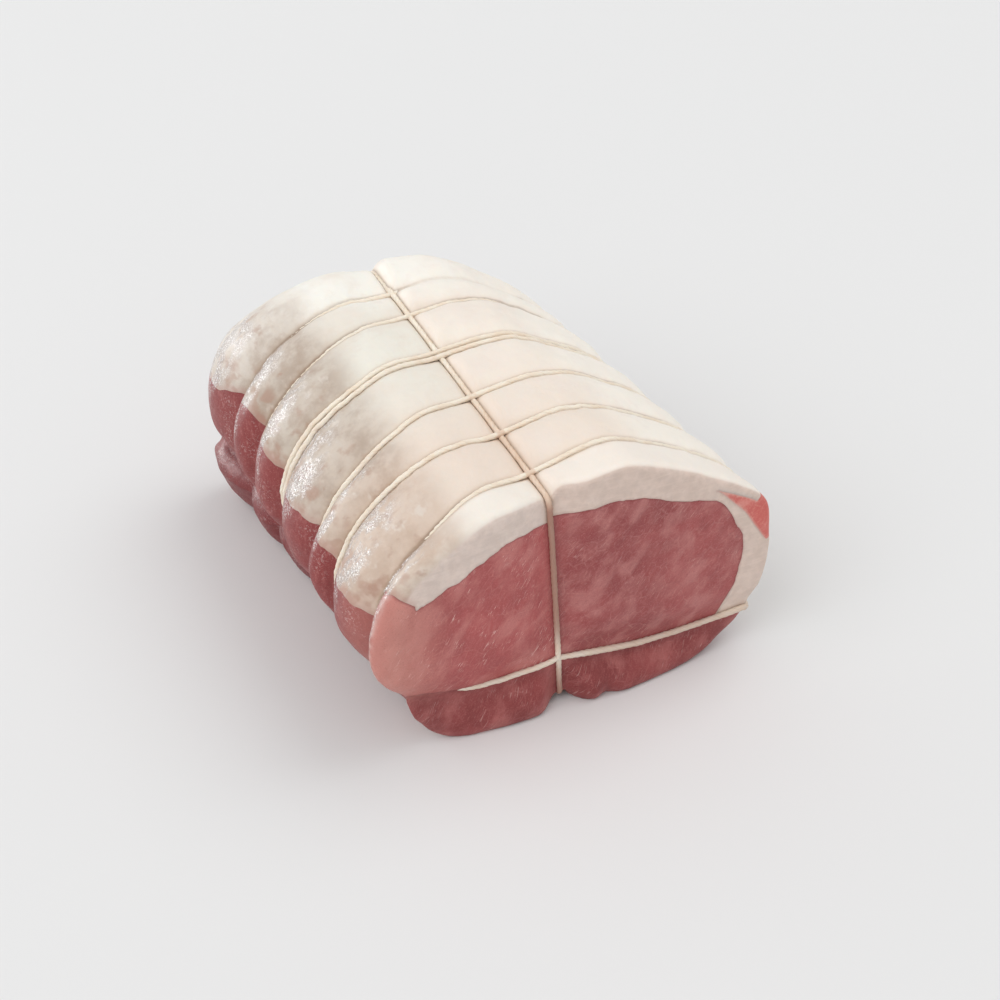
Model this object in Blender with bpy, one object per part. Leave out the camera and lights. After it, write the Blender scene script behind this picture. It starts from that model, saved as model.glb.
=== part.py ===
"""A raw veal loin roast: boned, rolled under its fat and tied with twine, ready for the oven.

Two loin muscles lie side by side on a thin flap of meat, under two sheets of fat that meet at a seam on top.
The right sheet wraps down the right side and has a strip of lean in its shoulder. Six ties of twine cross the
roast, the third of them double, one string runs lengthwise over the seam and round both cut faces, and one
runs level round the roast in the crease above the flap.

The front cut faces -Y, +Z is up and the origin is under the middle of the roast. Lengths are in millimetres
until place() turns them to metres.
"""

import math
from collections import namedtuple

import bmesh
import bpy
import numpy as np
from mathutils.geometry import tessellate_polygon

MM = 0.001
GAP = 0.3  # between neighbouring pieces
CREASE_GAP = 0.5  # between the flap and what lies on it
WALK_GAP = 0.02  # the gap between two pieces in the skin, in steps of the walk

# The planes that the strings pull the two cut faces back to, and the middle of the finished roast.
FRONT_Y = -70.0
REAR_Y = 64.5
MIDDLE_X = 5.4
MIDDLE_Y = -0.6

TWINE_RADIUS = 0.95
TWINE_SIDES = 4
TWINE_LIFT = 1.45  # from the skin to the middle of a string
TIE_OVER_SEAM = 1.35  # from the middle of the lengthwise string to the middle of a tie that crosses it
CORNER_BEND = 0.7  # how far from a lower corner of the roast the lengthwise string has turned
TIE_POINTS = 27
TIE_LENGTH_PER_TURN = 45.0  # this length of a tie gets as many points as a turn of one radian

# The outline, walked from the seam on top down the left side, under the roast and up the right side to the
# seam. Each landmark has its place (x, z) in the front cut, half way along and at the rear end, the depth of
# the fat there, how deep a tie bites, and how far the edge is rounded at the front cut and at the rear end.
Landmark = namedtuple("Landmark", "front middle rear fat bite front_round rear_round")
OUTLINE = (
    Landmark((-4.4, 77.8), (-3.9, 78.4), (-3.2, 77.6), 9.0, 1.1, 2.5, 8.0),
    Landmark((-21.0, 79.6), (-21.0, 79.6), (-20.0, 79.0), 12.8, 1.3, 3.0, 12.0),
    Landmark((-38.0, 73.5), (-39.0, 73.0), (-37.5, 72.4), 14.2, 2.0, 5.0, 13.0),
    Landmark((-51.5, 63.5), (-52.0, 63.0), (-51.0, 62.0), 10.8, 3.5, 8.0, 12.0),
    Landmark((-59.0, 49.5), (-59.5, 49.0), (-57.0, 49.0), 10.5, 4.8, 9.0, 12.0),
    Landmark((-58.5, 34.5), (-58.5, 35.0), (-57.0, 36.0), 10.5, 4.8, 8.0, 11.0),
    Landmark((-48.0, 19.5), (-50.0, 20.5), (-53.5, 24.5), 10.5, 1.2, 5.0, 7.0),
    Landmark((-43.5, 9.5), (-48.0, 10.5), (-58.0, 17.0), 0.0, 3.0, 5.0, 11.0),
    Landmark((-31.5, -1.2), (-36.5, -1.2), (-44.5, -1.2), 0.0, 4.0, 5.0, 10.0),
    Landmark((1.6, -1.2), (1.6, -1.2), (1.6, -1.2), 0.0, 4.2, 5.0, 5.0),
    Landmark((44.0, -1.2), (40.0, -1.2), (34.0, -1.2), 0.0, 4.2, 4.0, 5.0),
    Landmark((59.0, 5.0), (51.5, 5.0), (44.5, 5.0), 0.0, 3.0, 4.0, 7.0),
    Landmark((65.5, 13.5), (57.0, 13.4), (49.5, 13.0), 11.5, 2.0, 3.0, 7.0),
    Landmark((70.0, 27.0), (61.0, 27.0), (53.0, 28.0), 11.5, 2.0, 3.0, 8.0),
    Landmark((70.7, 42.0), (61.2, 42.0), (53.0, 43.0), 10.0, 1.5, 2.2, 8.0),
    Landmark((67.0, 57.0), (58.0, 57.0), (49.5, 56.0), 12.0, 1.3, 1.4, 9.0),
    Landmark((49.0, 70.5), (42.5, 70.0), (36.5, 69.0), 9.8, 1.2, 2.5, 10.0),
    Landmark((24.0, 83.0), (22.5, 79.8), (19.0, 79.2), 12.5, 1.0, 2.5, 11.0),
    Landmark((-0.5, 81.2), (-0.2, 81.2), (1.5, 80.4), 11.0, 1.0, 2.5, 8.0),
)
LEFT_CREASE = 6.0
LEFT_FOOT = 8.0
UNDER_SEAM = 9.0
RIGHT_FOOT = 10.0
RIGHT_CREASE = 12.0
LAST = len(OUTLINE) - 1.0

# The left sheet of fat ends on the flank, lower on some lobes than on others: y, and where its outer and its
# inner edge lie on the walk.
FAT_ENDS = (
    (-70.0, 3.08, 3.0),
    (-59.5, 3.08, 2.9),
    (-57.5, 3.9, 3.5),
    (-38.5, 3.9, 3.5),
    (-35.0, 3.7, 3.4),
    (-27.0, 3.6, 3.3),
    (-4.0, 3.75, 3.45),
    (19.0, 3.6, 3.3),
    (37.0, 3.35, 3.05),
    (46.0, 3.5, 3.2),
    (52.0, 3.8, 3.5),
    (64.5, 4.1, 3.8),
)
# The right sheet's inner border turns from the top to the side here, and reaches the flap below.
FAT_TURN = 15.2
FAT_SIDE_END = 12.8
LOIN_CORNER = 15.65  # where on the walk the right loin's upper corner lies, less deep than its neighbours
LOIN_CORNER_HALF = 0.36
LOIN_CORNER_RISE = 3.2
FAT_FOOT_WIDTH = 9.0
# The border lies deeper towards the rear, where the rounded edge draws the skin in.
REAR_DEEPER = 5.0
REAR_DEEPER_REACH = 13.0
THINNEST_FAT = 3.0

# The strip of lean in the right shoulder: where it shows, where its thin end lies, and its depth.
LEAN_BOTTOM = 13.95
LEAN_TOP = 15.1
LEAN_TOP_FALL = 0.35  # how much lower its upper edge shows behind the front cut
LEAN_TIP = 15.8
LEAN_SKIN = 1.0
LEAN_TIP_DEPTH = 2.4
LEAN_DEPTH = 4.8
FAT_UNDER_LEAN = 1.6
LEAN_TIP_GAP = 0.09  # beyond the strip's tip, in steps of the walk

# Ties from the rear to the front: where each crosses the seam, the left flank and the right shoulder.
Tie = namedtuple("Tie", "seam left right strands")
TIES = (
    Tie(44.1, 42.2, 39.7, 1),
    Tie(30.1, 23.7, 28.3, 1),
    Tie(6.6, 1.5, 4.8, 2),
    Tie(-17.5, -26.0, -16.8, 1),
    Tie(-37.5, -40.7, -36.6, 1),
    Tie(-57.8, -66.2, -56.1, 1),
)
STRAND_PITCH = 2.4  # between the two strands of a double tie
CHANNEL_HALF = 1.4  # half the width of the flat floor under a single strand
HALF_LOBE = 10.0  # from a tie to the crest of an end lobe
LOBE_POWER = 2.4  # how round the meat swells between ties
FLANK_REACH = 52.0  # from the seam to where a tie's left and right places are measured
# How far behind their planes the cut faces lie at the left and right ends, less than zero for before.
FRONT_LEFT = -3.0
REAR_LEFT = 8.0
REAR_RIGHT = -13.0

# The seam leans: its x at the resting surface, its slope upwards and its drift to the right towards the rear.
SEAM_FOOT_X = 2.5
SEAM_LEAN = -0.06
SEAM_DRIFT = 1.4
SEAM_TOP_Z = 80.0
# The channel on top for the lengthwise string: its floor, half its width and a point up its right side.
SEAM_FLOOR_Z = 76.3
SEAM_HALF = 1.25
SEAM_SIDE_RISE = 2.5
SEAM_SIDE_OUT = 0.3
UNDER_CHANNEL = 3.2  # depth of the channel for that string under the roast
UNDER_CHANNEL_SLOPE = 2.5  # width of each of its sloping sides

# The crease between the loins and the flap: heights at both sides and at the seam, and the sag between them.
CREASE_LEFT = (-50.0, 19.5)
CREASE_RIGHT = (62.5, 13.5)
CREASE_SEAM_Z = 17.4
CREASE_SAG_LEFT = 4.6
CREASE_SAG_RIGHT = 2.8

# The cut faces swell between the strings.
LOIN_SWELL = 3.0
LOIN_SWELL_REACH = 7.0  # from a string to where most of the swelling is reached
FLAP_SWELL = 6.3
FLAP_SWELL_REACH = 4.5
FLAP_SWELL_HALF = 46.0  # from its middle to where the flap's swelling has gone
FLAP_SWELL_MIDDLE = 9.0
SWELL_FADE = 14.0  # how far behind the face the swelling has gone
REAR_SWELL = 0.6  # the rear face swells by this share of the front's
# The level string sinks in between the loin and the flap towards the left.
CREASE_PULL = 2.0
CREASE_PULL_REACH = 3.5  # above and below the crease
CREASE_PULL_FROM = -22.0
CREASE_PULL_FULL = -42.0

FRONT_STATIONS = (0.0, 0.8, 2.4, 5.0)  # behind the front plane
REAR_STATIONS = (0.0, 1.0, 3.2, 7.0, 12.0)  # before the rear plane
LOBE_STATIONS = (0.3, 0.7)  # shares of the way from one tie to the next

COLOURS = {
    "fat_left": (0.80, 0.74, 0.66),
    "fat_right": (0.84, 0.76, 0.68),
    "loin_left": (0.42, 0.14, 0.13),
    "loin_right": (0.36, 0.11, 0.11),
    "flap": (0.26, 0.07, 0.07),
    "side_lean": (0.58, 0.22, 0.18),
    "twine": (0.80, 0.68, 0.52),
}
MEAT_ROUGHNESS = 0.38
FAT_ROUGHNESS = 0.45
TWINE_ROUGHNESS = 0.8
SMOOTH_BELOW = math.radians(40)


def smooth(t):
    """A soft step from 0 to 1."""
    t = np.clip(t, 0.0, 1.0)
    return t * t * (3.0 - 2.0 * t)


def column(name, s):
    """A landmark's number, blended along the walk."""
    values = [getattr(landmark, name) for landmark in OUTLINE]
    return np.interp(s, np.arange(len(values)), values)


def landmarks_at(y):
    """The outline's landmarks at y, on a curve through the front, middle and rear ones."""
    w = (y - FRONT_Y) / (REAR_Y - FRONT_Y)
    front, middle, rear = (np.array([getattr(k, n) for k in OUTLINE]) for n in ("front", "middle", "rear"))
    return front * (1 - w) * (1 - 2 * w) + middle * 4 * w * (1 - w) + rear * w * (2 * w - 1)


def walk(y, s):
    """Points (x, z) and outward normals on the smooth outline at y, before ties and rounding."""
    marks = landmarks_at(y)
    marks = np.vstack([2 * marks[0] - marks[1], marks, 2 * marks[-1] - marks[-2]])
    k = np.clip(np.floor(s).astype(int), 0, len(OUTLINE) - 2)
    t = (s - k)[:, None]
    p0, p1, p2, p3 = (marks[k + i] for i in range(4))
    bend = 2 * p0 - 5 * p1 + 4 * p2 - p3
    twist = 3 * p1 - 3 * p2 + p3 - p0
    points = 0.5 * (2 * p1 + (p2 - p0) * t + bend * t**2 + twist * t**3)
    along = (p2 - p0) + 2 * bend * t + 3 * twist * t**2
    along /= np.linalg.norm(along, axis=1, keepdims=True)
    return points, np.stack([along[:, 1], -along[:, 0]], axis=1)


def channel_half(tie):
    """Half the width of the channel that a tie lies in."""
    return CHANNEL_HALF + STRAND_PITCH / 2 * (tie.strands - 1)


def tie_depth(y):
    """Share of the full bite at y: 1 in a tie's channel, 0 on the crest between two ties."""
    edges = [(tie.seam - channel_half(tie), tie.seam + channel_half(tie)) for tie in TIES]
    ahead = [low - y for low, high in edges if y < low]
    behind = [y - high for low, high in edges if y > high]
    if len(ahead) + len(behind) < len(edges):
        return 1.0
    reach = (min(ahead) + min(behind)) / 2 if ahead and behind else HALF_LOBE
    return max(0.0, 1.0 - min(ahead + behind) / reach) ** LOBE_POWER


def rounding(distance, radius):
    """How far a rounded edge has drawn in at a distance from the end plane."""
    left = np.clip(radius - distance, 0.0, radius)
    return radius - np.sqrt(radius**2 - left**2)


def surface_inset(y, s):
    """How far the roast's skin lies inside the smooth outline."""
    front = rounding(y - FRONT_Y, column("front_round", s))
    rear = rounding(REAR_Y - y, column("rear_round", s))
    return column("bite", s) * tie_depth(y) + front + rear


def skin(y, s, inset=0.0):
    """Points on the roast's skin at y, moved inwards by inset; the underside is pressed flat."""
    points, normals = walk(y, s)
    points = points - normals * (surface_inset(y, s) + inset)[:, None]
    beside = np.abs(points[:, 0] - SEAM_FOOT_X) - CHANNEL_HALF
    channel = UNDER_CHANNEL * (1 - smooth(beside / UNDER_CHANNEL_SLOPE))
    below = (s > LEFT_FOOT) & (s < RIGHT_FOOT)
    points[:, 1] = np.maximum(points[:, 1], np.where(below, channel, 0.0) + inset)
    return points


def fat_depth(y, s):
    """Depth of the border between fat and meat under the smooth outline."""
    deeper = REAR_DEEPER * (1 - smooth((REAR_Y - y) / REAR_DEEPER_REACH))
    corner = LOIN_CORNER_RISE * np.exp(-(((np.asarray(s) - LOIN_CORNER) / LOIN_CORNER_HALF) ** 2))
    return np.maximum(column("fat", s) + deeper - corner, surface_inset(y, s) + THINNEST_FAT)


def fat_border(y, s, away):
    """The border between fat and meat, moved inwards by away."""
    points, normals = walk(y, s)
    return points - normals * (fat_depth(y, s) + away)[:, None]


def seam_x(y, z):
    """The seam's x at y and height z."""
    drift = SEAM_DRIFT * (y - FRONT_Y) / (REAR_Y - FRONT_Y)
    return SEAM_FOOT_X + (SEAM_LEAN + drift / SEAM_TOP_Z) * z


def crease_z(y, x):
    """Height of the crease between the loins and the flap: two shallow sags that meet at the seam."""
    middle = seam_x(y, CREASE_SEAM_Z)
    left = np.clip((middle - x) / (middle - CREASE_LEFT[0]), 0, 1.2)
    right = np.clip((x - middle) / (CREASE_RIGHT[0] - middle), 0, 1.2)
    slopes = (CREASE_LEFT[1] - CREASE_SEAM_Z) * left + (CREASE_RIGHT[1] - CREASE_SEAM_Z) * right
    sags = CREASE_SAG_LEFT * left * (1 - left) + CREASE_SAG_RIGHT * right * (1 - right)
    return CREASE_SEAM_Z + slopes - 4 * sags


def crease(y, shares, side, lift):
    """Points along the crease from the seam (share 0) to the left (side -1) or right skin (share 1)."""
    end = skin(y, np.array([LEFT_CREASE if side < 0 else RIGHT_CREASE]))[0]
    start_x = seam_x(y, CREASE_SEAM_Z)
    x = start_x + (end[0] - start_x) * shares
    z = crease_z(y, x) + (end[1] - crease_z(y, end[0])) * shares
    return np.stack([x, z + lift], axis=1)


def face_swell(y, x, z):
    """How far a cut face stands proud of the strings' plane at (x, z)."""
    beside = np.maximum(np.abs(x - seam_x(y, z)) - CHANNEL_HALF, 0.0)
    above = z - crease_z(y, x)
    away = np.maximum(np.abs(above) - CHANNEL_HALF, 0.0)
    loin = (1 - np.exp(-((beside / LOIN_SWELL_REACH) ** 2))) * (1 - np.exp(-((away / LOIN_SWELL_REACH) ** 2)))
    flap = (1 - np.exp(-((beside / FLAP_SWELL_REACH) ** 2))) * (1 - np.exp(-((away / FLAP_SWELL_REACH) ** 2)))
    fade = np.clip(1 - ((x - FLAP_SWELL_MIDDLE) / FLAP_SWELL_HALF) ** 2, 0, 1)
    pull = smooth((CREASE_PULL_FROM - x) / (CREASE_PULL_FROM - CREASE_PULL_FULL))
    pull = CREASE_PULL * pull * np.exp(-((above / CREASE_PULL_REACH) ** 2))
    return np.where(above > 0, LOIN_SWELL * loin, FLAP_SWELL * fade * flap) - pull


def sweep(y, x):
    """How far the section planes lean along the roast to the left and the right of the seam."""
    knots, left, right = [FRONT_Y], [FRONT_LEFT], [0.0]
    for tie in reversed(TIES):
        knots += [tie.seam - channel_half(tie), tie.seam + channel_half(tie)]
        left += [tie.left - tie.seam] * 2
        right += [tie.right - tie.seam] * 2
    left = np.interp(y, knots + [REAR_Y], left + [REAR_LEFT])
    right = np.interp(y, knots + [REAR_Y], right + [REAR_RIGHT])
    away = (x - seam_x(y, SEAM_TOP_Z)) / FLANK_REACH
    return np.where(away < 0, left * smooth(-away), right * smooth(away))


def place(y, points):
    """Turns points (x, z) of the section at y into places on the finished roast, in metres."""
    x, z = points[..., 0], points[..., 1]
    swell = face_swell(y, x, z)
    along = y + sweep(y, x)
    along = along - swell * (1 - smooth((y - FRONT_Y) / SWELL_FADE))
    along = along + REAR_SWELL * swell * (1 - smooth((REAR_Y - y) / SWELL_FADE))
    return np.stack([x - MIDDLE_X, along - MIDDLE_Y, z], axis=-1) * MM


def stations():
    """The y of the section planes: close together at the rounded ends and at the ties' channels."""
    ys = [FRONT_Y + away for away in FRONT_STATIONS] + [REAR_Y - away for away in REAR_STATIONS]
    for tie in TIES:
        ys += [tie.seam - channel_half(tie), tie.seam + channel_half(tie)]
    for tie, nearer in zip(TIES, TIES[1:]):
        low, high = nearer.seam + channel_half(nearer), tie.seam - channel_half(tie)
        ys += [low + (high - low) * share for share in LOBE_STATIONS]
    ys.append(TIES[0].seam + channel_half(TIES[0]) + HALF_LOBE / 2)
    ys.append(TIES[-1].seam - channel_half(TIES[-1]) - HALF_LOBE / 2)
    return sorted(ys)


def add_object(name, mesh, roughness):
    made = bpy.data.materials.new(name)
    made.use_nodes = True
    shader = made.node_tree.nodes["Principled BSDF"]
    shader.inputs["Base Color"].default_value = (*COLOURS[name], 1.0)
    shader.inputs["Roughness"].default_value = roughness
    shader.inputs["Metallic"].default_value = 0.0
    mesh.materials.append(made)
    mesh.shade_smooth()
    mesh.set_sharp_from_angle(angle=SMOOTH_BELOW)
    obj = bpy.data.objects.new(name, mesh)
    bpy.context.scene.collection.objects.link(obj)
    return obj


def closed_mesh(bm, name):
    """Splits the faces into triangles, turns them outwards and returns the mesh."""
    bmesh.ops.triangulate(bm, faces=bm.faces[:], quad_method="SHORT_EDGE", ngon_method="EAR_CLIP")
    bmesh.ops.recalc_face_normals(bm, faces=bm.faces[:])
    mesh = bpy.data.meshes.new(name)
    bm.to_mesh(mesh)
    bm.free()
    return mesh


def join_rings(bm, rings):
    """Quads between each ring of vertices and the next."""
    for ring, following in zip(rings, rings[1:]):
        for i, vert in enumerate(ring):
            j = (i + 1) % len(ring)
            bm.faces.new((vert, ring[j], following[j], following[i]))


def close_ring(bm, ring, section):
    """Fills a ring with triangles chosen on its flat section (x, z)."""
    places = [vert.co.copy() for vert in ring]
    for vert, (x, z) in zip(ring, section):
        vert.co = (x, z, 0.0)
    triangles = tessellate_polygon([[vert.co for vert in ring]])
    cap = [bm.faces.new([ring[corner] for corner in corners]) for corners in triangles]
    inner = {edge for face in cap for edge in face.edges if all(other in cap for other in edge.link_faces)}
    bmesh.ops.beautify_fill(bm, faces=cap, edges=list(inner), method="ANGLE")
    for vert, co in zip(ring, places):
        vert.co = co


def loft(name, ring_at, roughness):
    """A solid through one ring of points (x, z) at each station, closed at both ends."""
    bm = bmesh.new()
    ys = stations()
    sections = [ring_at(y) for y in ys]
    rings = [[bm.verts.new(p) for p in place(y, section)] for y, section in zip(ys, sections)]
    close_ring(bm, rings[0], sections[0])
    close_ring(bm, rings[-1], sections[-1])
    join_rings(bm, rings)
    return add_object(name, closed_mesh(bm, name), roughness)


def patch(left, right, bottom, top):
    """A grid of points filled in between four border curves, two going up and two going across."""
    a = np.linspace(0, 1, len(bottom))[:, None, None]
    b = np.linspace(0, 1, len(left))[None, :, None]
    between = (1 - a) * left[None] + a * right[None] + (1 - b) * bottom[:, None] + b * top[:, None]
    corners = (1 - b) * ((1 - a) * bottom[0] + a * bottom[-1]) + b * ((1 - a) * top[0] + a * top[-1])
    return between - corners


def border(grid):
    """The border of a grid of points, or of vertices, in walking order."""
    return [*grid[:-1, 0], *grid[-1, :-1], *grid[:0:-1, -1], *grid[0, :0:-1]]


def block(name, sides_at, roughness):
    """A solid through one patch between four border curves at each station; the end patches close it."""
    bm = bmesh.new()
    ys = stations()
    rings = []
    for y in ys:
        grid = place(y, patch(*sides_at(y)))
        if y not in (ys[0], ys[-1]):
            rings.append([bm.verts.new(p) for p in border(grid)])
            continue
        verts = np.empty(grid.shape[:2], dtype=object)
        for index in np.ndindex(verts.shape):
            verts[index] = bm.verts.new(grid[index])
        rings.append(border(verts))
        for i, j in np.ndindex(verts.shape[0] - 1, verts.shape[1] - 1):
            bm.faces.new((verts[i, j], verts[i + 1, j], verts[i + 1, j + 1], verts[i, j + 1]))
    join_rings(bm, rings)
    return add_object(name, closed_mesh(bm, name), roughness)


def even(start, end, count):
    """Places along the walk from start to end, both included."""
    return np.linspace(start, end, count)


def seam_points(y, z, side, out=0.0):
    """Points in the seam at heights z, half a gap and out to the left (side -1) or right of it (+1)."""
    z = np.atleast_1d(z)
    return np.stack([seam_x(y, z) + side * (GAP / 2 + out), z], axis=1)


def fat_end(y):
    """Where the left sheet's outer and inner edge lie on the walk at y."""
    ys, outer, inner = zip(*FAT_ENDS)
    return np.interp(y, ys, outer), np.interp(y, ys, inner)


def seam_border(y, start, end, count, side, away):
    """The fat border from the seam outwards along the walk."""
    line = fat_border(y, even(start, end, count), away)
    line[0] = seam_points(y, line[0, 1], side)[0]
    return line


def seam_floor(y):
    """Height of the channel that the lengthwise string lies in, drawn in at the rounded ends."""
    return SEAM_FLOOR_Z - surface_inset(y, 0.0) + column("bite", 0.0) * tie_depth(y)


def seam_channel(y, side):
    """That channel's points, from the seam out to one side."""
    floor = seam_floor(y)
    points = [seam_points(y, floor, side), seam_points(y, floor, side, SEAM_HALF)]
    if side > 0:
        points.append(seam_points(y, floor + SEAM_SIDE_RISE, side, SEAM_HALF + SEAM_SIDE_OUT))
    return np.concatenate(points)


def fat_foot(y, away):
    """The inner corner of the right sheet where it stands on the flap."""
    right_x = skin(y, np.array([RIGHT_CREASE]))[0, 0]
    share = 1 - FAT_FOOT_WIDTH / (right_x - seam_x(y, CREASE_SEAM_Z))
    corner = crease(y, np.array([share]), 1, CREASE_GAP / 2)
    return corner + [[-away, 0.0]], share


def left_fat(y):
    """The left sheet's section: its skin, back along the meat and down the seam's channel."""
    outer_end, inner_end = fat_end(y)
    outer = skin(y, even(0.0, outer_end, 10))
    inner = seam_border(y, 0.0, inner_end, 8, -1, -GAP / 2)
    return np.concatenate([outer, inner[::-1], seam_channel(y, -1)])


def left_loin(y):
    """The left loin's four sides at y: the flank, the seam, the crease and the fat border."""
    outer_end, inner_end = fat_end(y)
    flank = skin(y, even(LEFT_CREASE - WALK_GAP, outer_end + WALK_GAP, 6))
    inner = seam_border(y, 0.0, inner_end, 8, -1, GAP / 2)
    top = np.concatenate([flank[-1:], inner[::-1]])
    bottom = crease(y, even(1.0, 0.0, len(top)), -1, CREASE_GAP / 2)
    bottom[0] = flank[0]
    bottom[-1, 0] -= GAP / 2
    return flank, seam_points(y, np.linspace(bottom[-1, 1], top[-1, 1], len(flank)), -1), bottom, top


def right_loin(y):
    """The right loin's four sides at y: the seam, the side fat, the crease and the fat border."""
    top = seam_border(y, LAST, FAT_TURN, 7, 1, GAP / 2)
    side = fat_border(y, even(FAT_SIDE_END, FAT_TURN, 5), GAP / 2)
    foot, share = fat_foot(y, GAP / 2)
    side = np.concatenate([foot, side])
    bottom = crease(y, even(0.0, share, len(top)), 1, CREASE_GAP / 2)
    bottom[0, 0] += GAP / 2
    bottom[-1] = foot[0]
    return seam_points(y, np.linspace(bottom[0, 1], top[0, 1], len(side)), 1), side, bottom, top


def lean_depths(y, s):
    """The lean strip's upper and lower side as depths under the skin."""
    skin_depth = np.interp(s, [LEAN_TOP, LEAN_TIP], [LEAN_SKIN, LEAN_TIP_DEPTH])
    share = np.clip((s - LEAN_BOTTOM) / (LEAN_TIP - LEAN_BOTTOM), 0, 1)
    depth = LEAN_TIP_DEPTH * share + LEAN_DEPTH * np.sin(math.pi * share)
    return skin_depth, np.minimum(depth, fat_depth(y, s) - surface_inset(y, s) - FAT_UNDER_LEAN)


def lean_top(y):
    """Where the strip's upper edge shows on the walk: highest at the front cut."""
    return LEAN_TOP - LEAN_TOP_FALL * smooth((y - FRONT_Y - 1.0) / 9.0)


def lean_border(y, top, tip, away):
    """The strip's buried border at y: under the skin from its top to its tip, then back below."""
    covered = np.concatenate([[top], even(top, LEAN_TIP, 4)[1:-1]])
    below = even(LEAN_TIP, LEAN_BOTTOM, 7)[1:-1]
    upper = skin(y, covered, lean_depths(y, covered)[0] - away)
    end = skin(y, np.array([tip]), LEAN_TIP_DEPTH)
    lower = skin(y, below, lean_depths(y, below)[1] + away)
    return np.concatenate([upper, end, lower])


def side_lean(y):
    """The strip's section: the part that shows in the skin, then its buried border."""
    shown = even(LEAN_BOTTOM + WALK_GAP, lean_top(y) - WALK_GAP, 4)
    return np.concatenate([skin(y, shown), lean_border(y, shown[-1], LEAN_TIP, 0.0)])


def right_fat(y):
    """The right sheet's section, over the top, round the strip's pocket and down to its foot on the flap."""
    over = even(LAST, lean_top(y) + WALK_GAP, 8)
    pocket = lean_border(y, over[-1], LEAN_TIP + LEAN_TIP_GAP, GAP)
    side = skin(y, even(LEAN_BOTTOM - WALK_GAP, RIGHT_CREASE + WALK_GAP, 4))
    foot, _ = fat_foot(y, -GAP / 2)
    inner = fat_border(y, even(FAT_SIDE_END, FAT_TURN, 5), -GAP / 2)
    top = seam_border(y, LAST, FAT_TURN, 7, 1, -GAP / 2)[-2::-1]
    return np.concatenate([skin(y, over), pocket, side, foot, inner, top, seam_channel(y, 1)])


def flap(y):
    """The flap's four sides at y, with points where the channel under the roast bends."""
    beside = CHANNEL_HALF / FLANK_REACH
    top = np.concatenate([
        crease(y, even(1.0, beside, 6), -1, -CREASE_GAP / 2),
        crease(y, even(beside, 1.0, 6), 1, -CREASE_GAP / 2),
    ])
    left = skin(y, even(LEFT_FOOT, LEFT_CREASE + WALK_GAP, 4))
    right = skin(y, even(RIGHT_FOOT, RIGHT_CREASE - WALK_GAP, 4))
    top[0], top[-1] = left[-1], right[-1]
    slope = CHANNEL_HALF + UNDER_CHANNEL_SLOPE
    dense = even(LEFT_FOOT, RIGHT_FOOT, 200)
    across = walk(y, dense)[0][:, 0]
    x = np.concatenate([
        np.linspace(across[0], SEAM_FOOT_X - slope, 5),
        [SEAM_FOOT_X - CHANNEL_HALF, SEAM_FOOT_X + CHANNEL_HALF],
        np.linspace(SEAM_FOOT_X + slope, across[-1], 5),
    ])
    bottom = skin(y, np.interp(x, across, dense))
    return left, right, bottom, top


def tie_path(tie, offset):
    """A tie's loop: over the lengthwise string, down the left side, under the roast and up the right side.

    Its points stand closer together where the outline turns more.
    """
    y = tie.seam + offset
    dense = even(0.0, LAST, 300)
    points, normals = walk(y, dense)
    turning = np.linalg.norm(np.diff(normals, axis=0), axis=1)
    length = np.linalg.norm(np.diff(points, axis=0), axis=1)
    travelled = np.append(0.0, np.cumsum(turning + length / TIE_LENGTH_PER_TURN))
    s = np.interp(even(0.0, travelled[-1], TIE_POINTS), travelled, dense)
    points = skin(y, s, -TWINE_LIFT)
    points[:, 1] = np.maximum(points[:, 1], TWINE_RADIUS)
    over = seam_floor(y) + TWINE_LIFT + TIE_OVER_SEAM
    return place(y, np.vstack([points, [[seam_x(y, over), over]]]))


def lifted(points, axis):
    """A closed loop of places moved off the surface, square to the axis that it runs round."""
    along = np.roll(points, -1, axis=0) - np.roll(points, 1, axis=0)
    away = np.cross(along, axis)
    return points + away / np.linalg.norm(away, axis=1, keepdims=True) * TWINE_LIFT * MM


def lengthwise_path():
    """The loop over the seam, down the rear face, along under the roast and up the front face."""
    top = [(y, seam_floor(y)) for y in stations()]
    foot, rear_foot = (skin(y, np.array([UNDER_SEAM]))[0, 1] for y in (FRONT_Y, REAR_Y))
    rear = [(REAR_Y, z) for z in np.linspace(top[-1][1], rear_foot, 5)[1:]]
    rear_corner = (REAR_Y - CORNER_BEND / 7, UNDER_CHANNEL + CORNER_BEND / 7)
    front_corner = (FRONT_Y + CORNER_BEND / 7, UNDER_CHANNEL + CORNER_BEND / 7)
    level = [(y, UNDER_CHANNEL) for y in np.linspace(REAR_Y - CORNER_BEND, FRONT_Y + CORNER_BEND, 8)]
    under = [rear_corner, *level, front_corner]
    front = [(FRONT_Y, z) for z in np.linspace(foot, top[0][1], 5)[:-1]]
    points = [place(y, np.array([seam_x(y, z), z])) for y, z in top + rear + under + front]
    return lifted(np.array(points), (-1.0, 0.0, 0.0))


def bridged(y, s):
    """The skin's place at s as it would be without the ties' channels."""
    s = np.array([s])
    return place(y, skin(y, s, -column("bite", s) * tie_depth(y))[0])


def face_crease(y, shares, side):
    """Places along the crease in a cut face."""
    return place(y, crease(y, shares, side, 0.0))


def level_path():
    """The loop along the crease above the flap: left side, rear face, right side and front face."""
    ys = stations()
    left = np.array([bridged(y, LEFT_CREASE) for y in ys])
    right = np.array([bridged(y, RIGHT_CREASE) for y in reversed(ys)])
    out, back = even(0.0, 1.0, 6), even(1.0, 0.0, 6)
    rear = [face_crease(REAR_Y, back, -1)[1:], face_crease(REAR_Y, out, 1)[1:-1]]
    front = [face_crease(FRONT_Y, back, 1)[1:], face_crease(FRONT_Y, out, -1)[1:-1]]
    return lifted(np.concatenate([left, *rear, right, *front]), (0.0, 0.0, -1.0))


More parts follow.
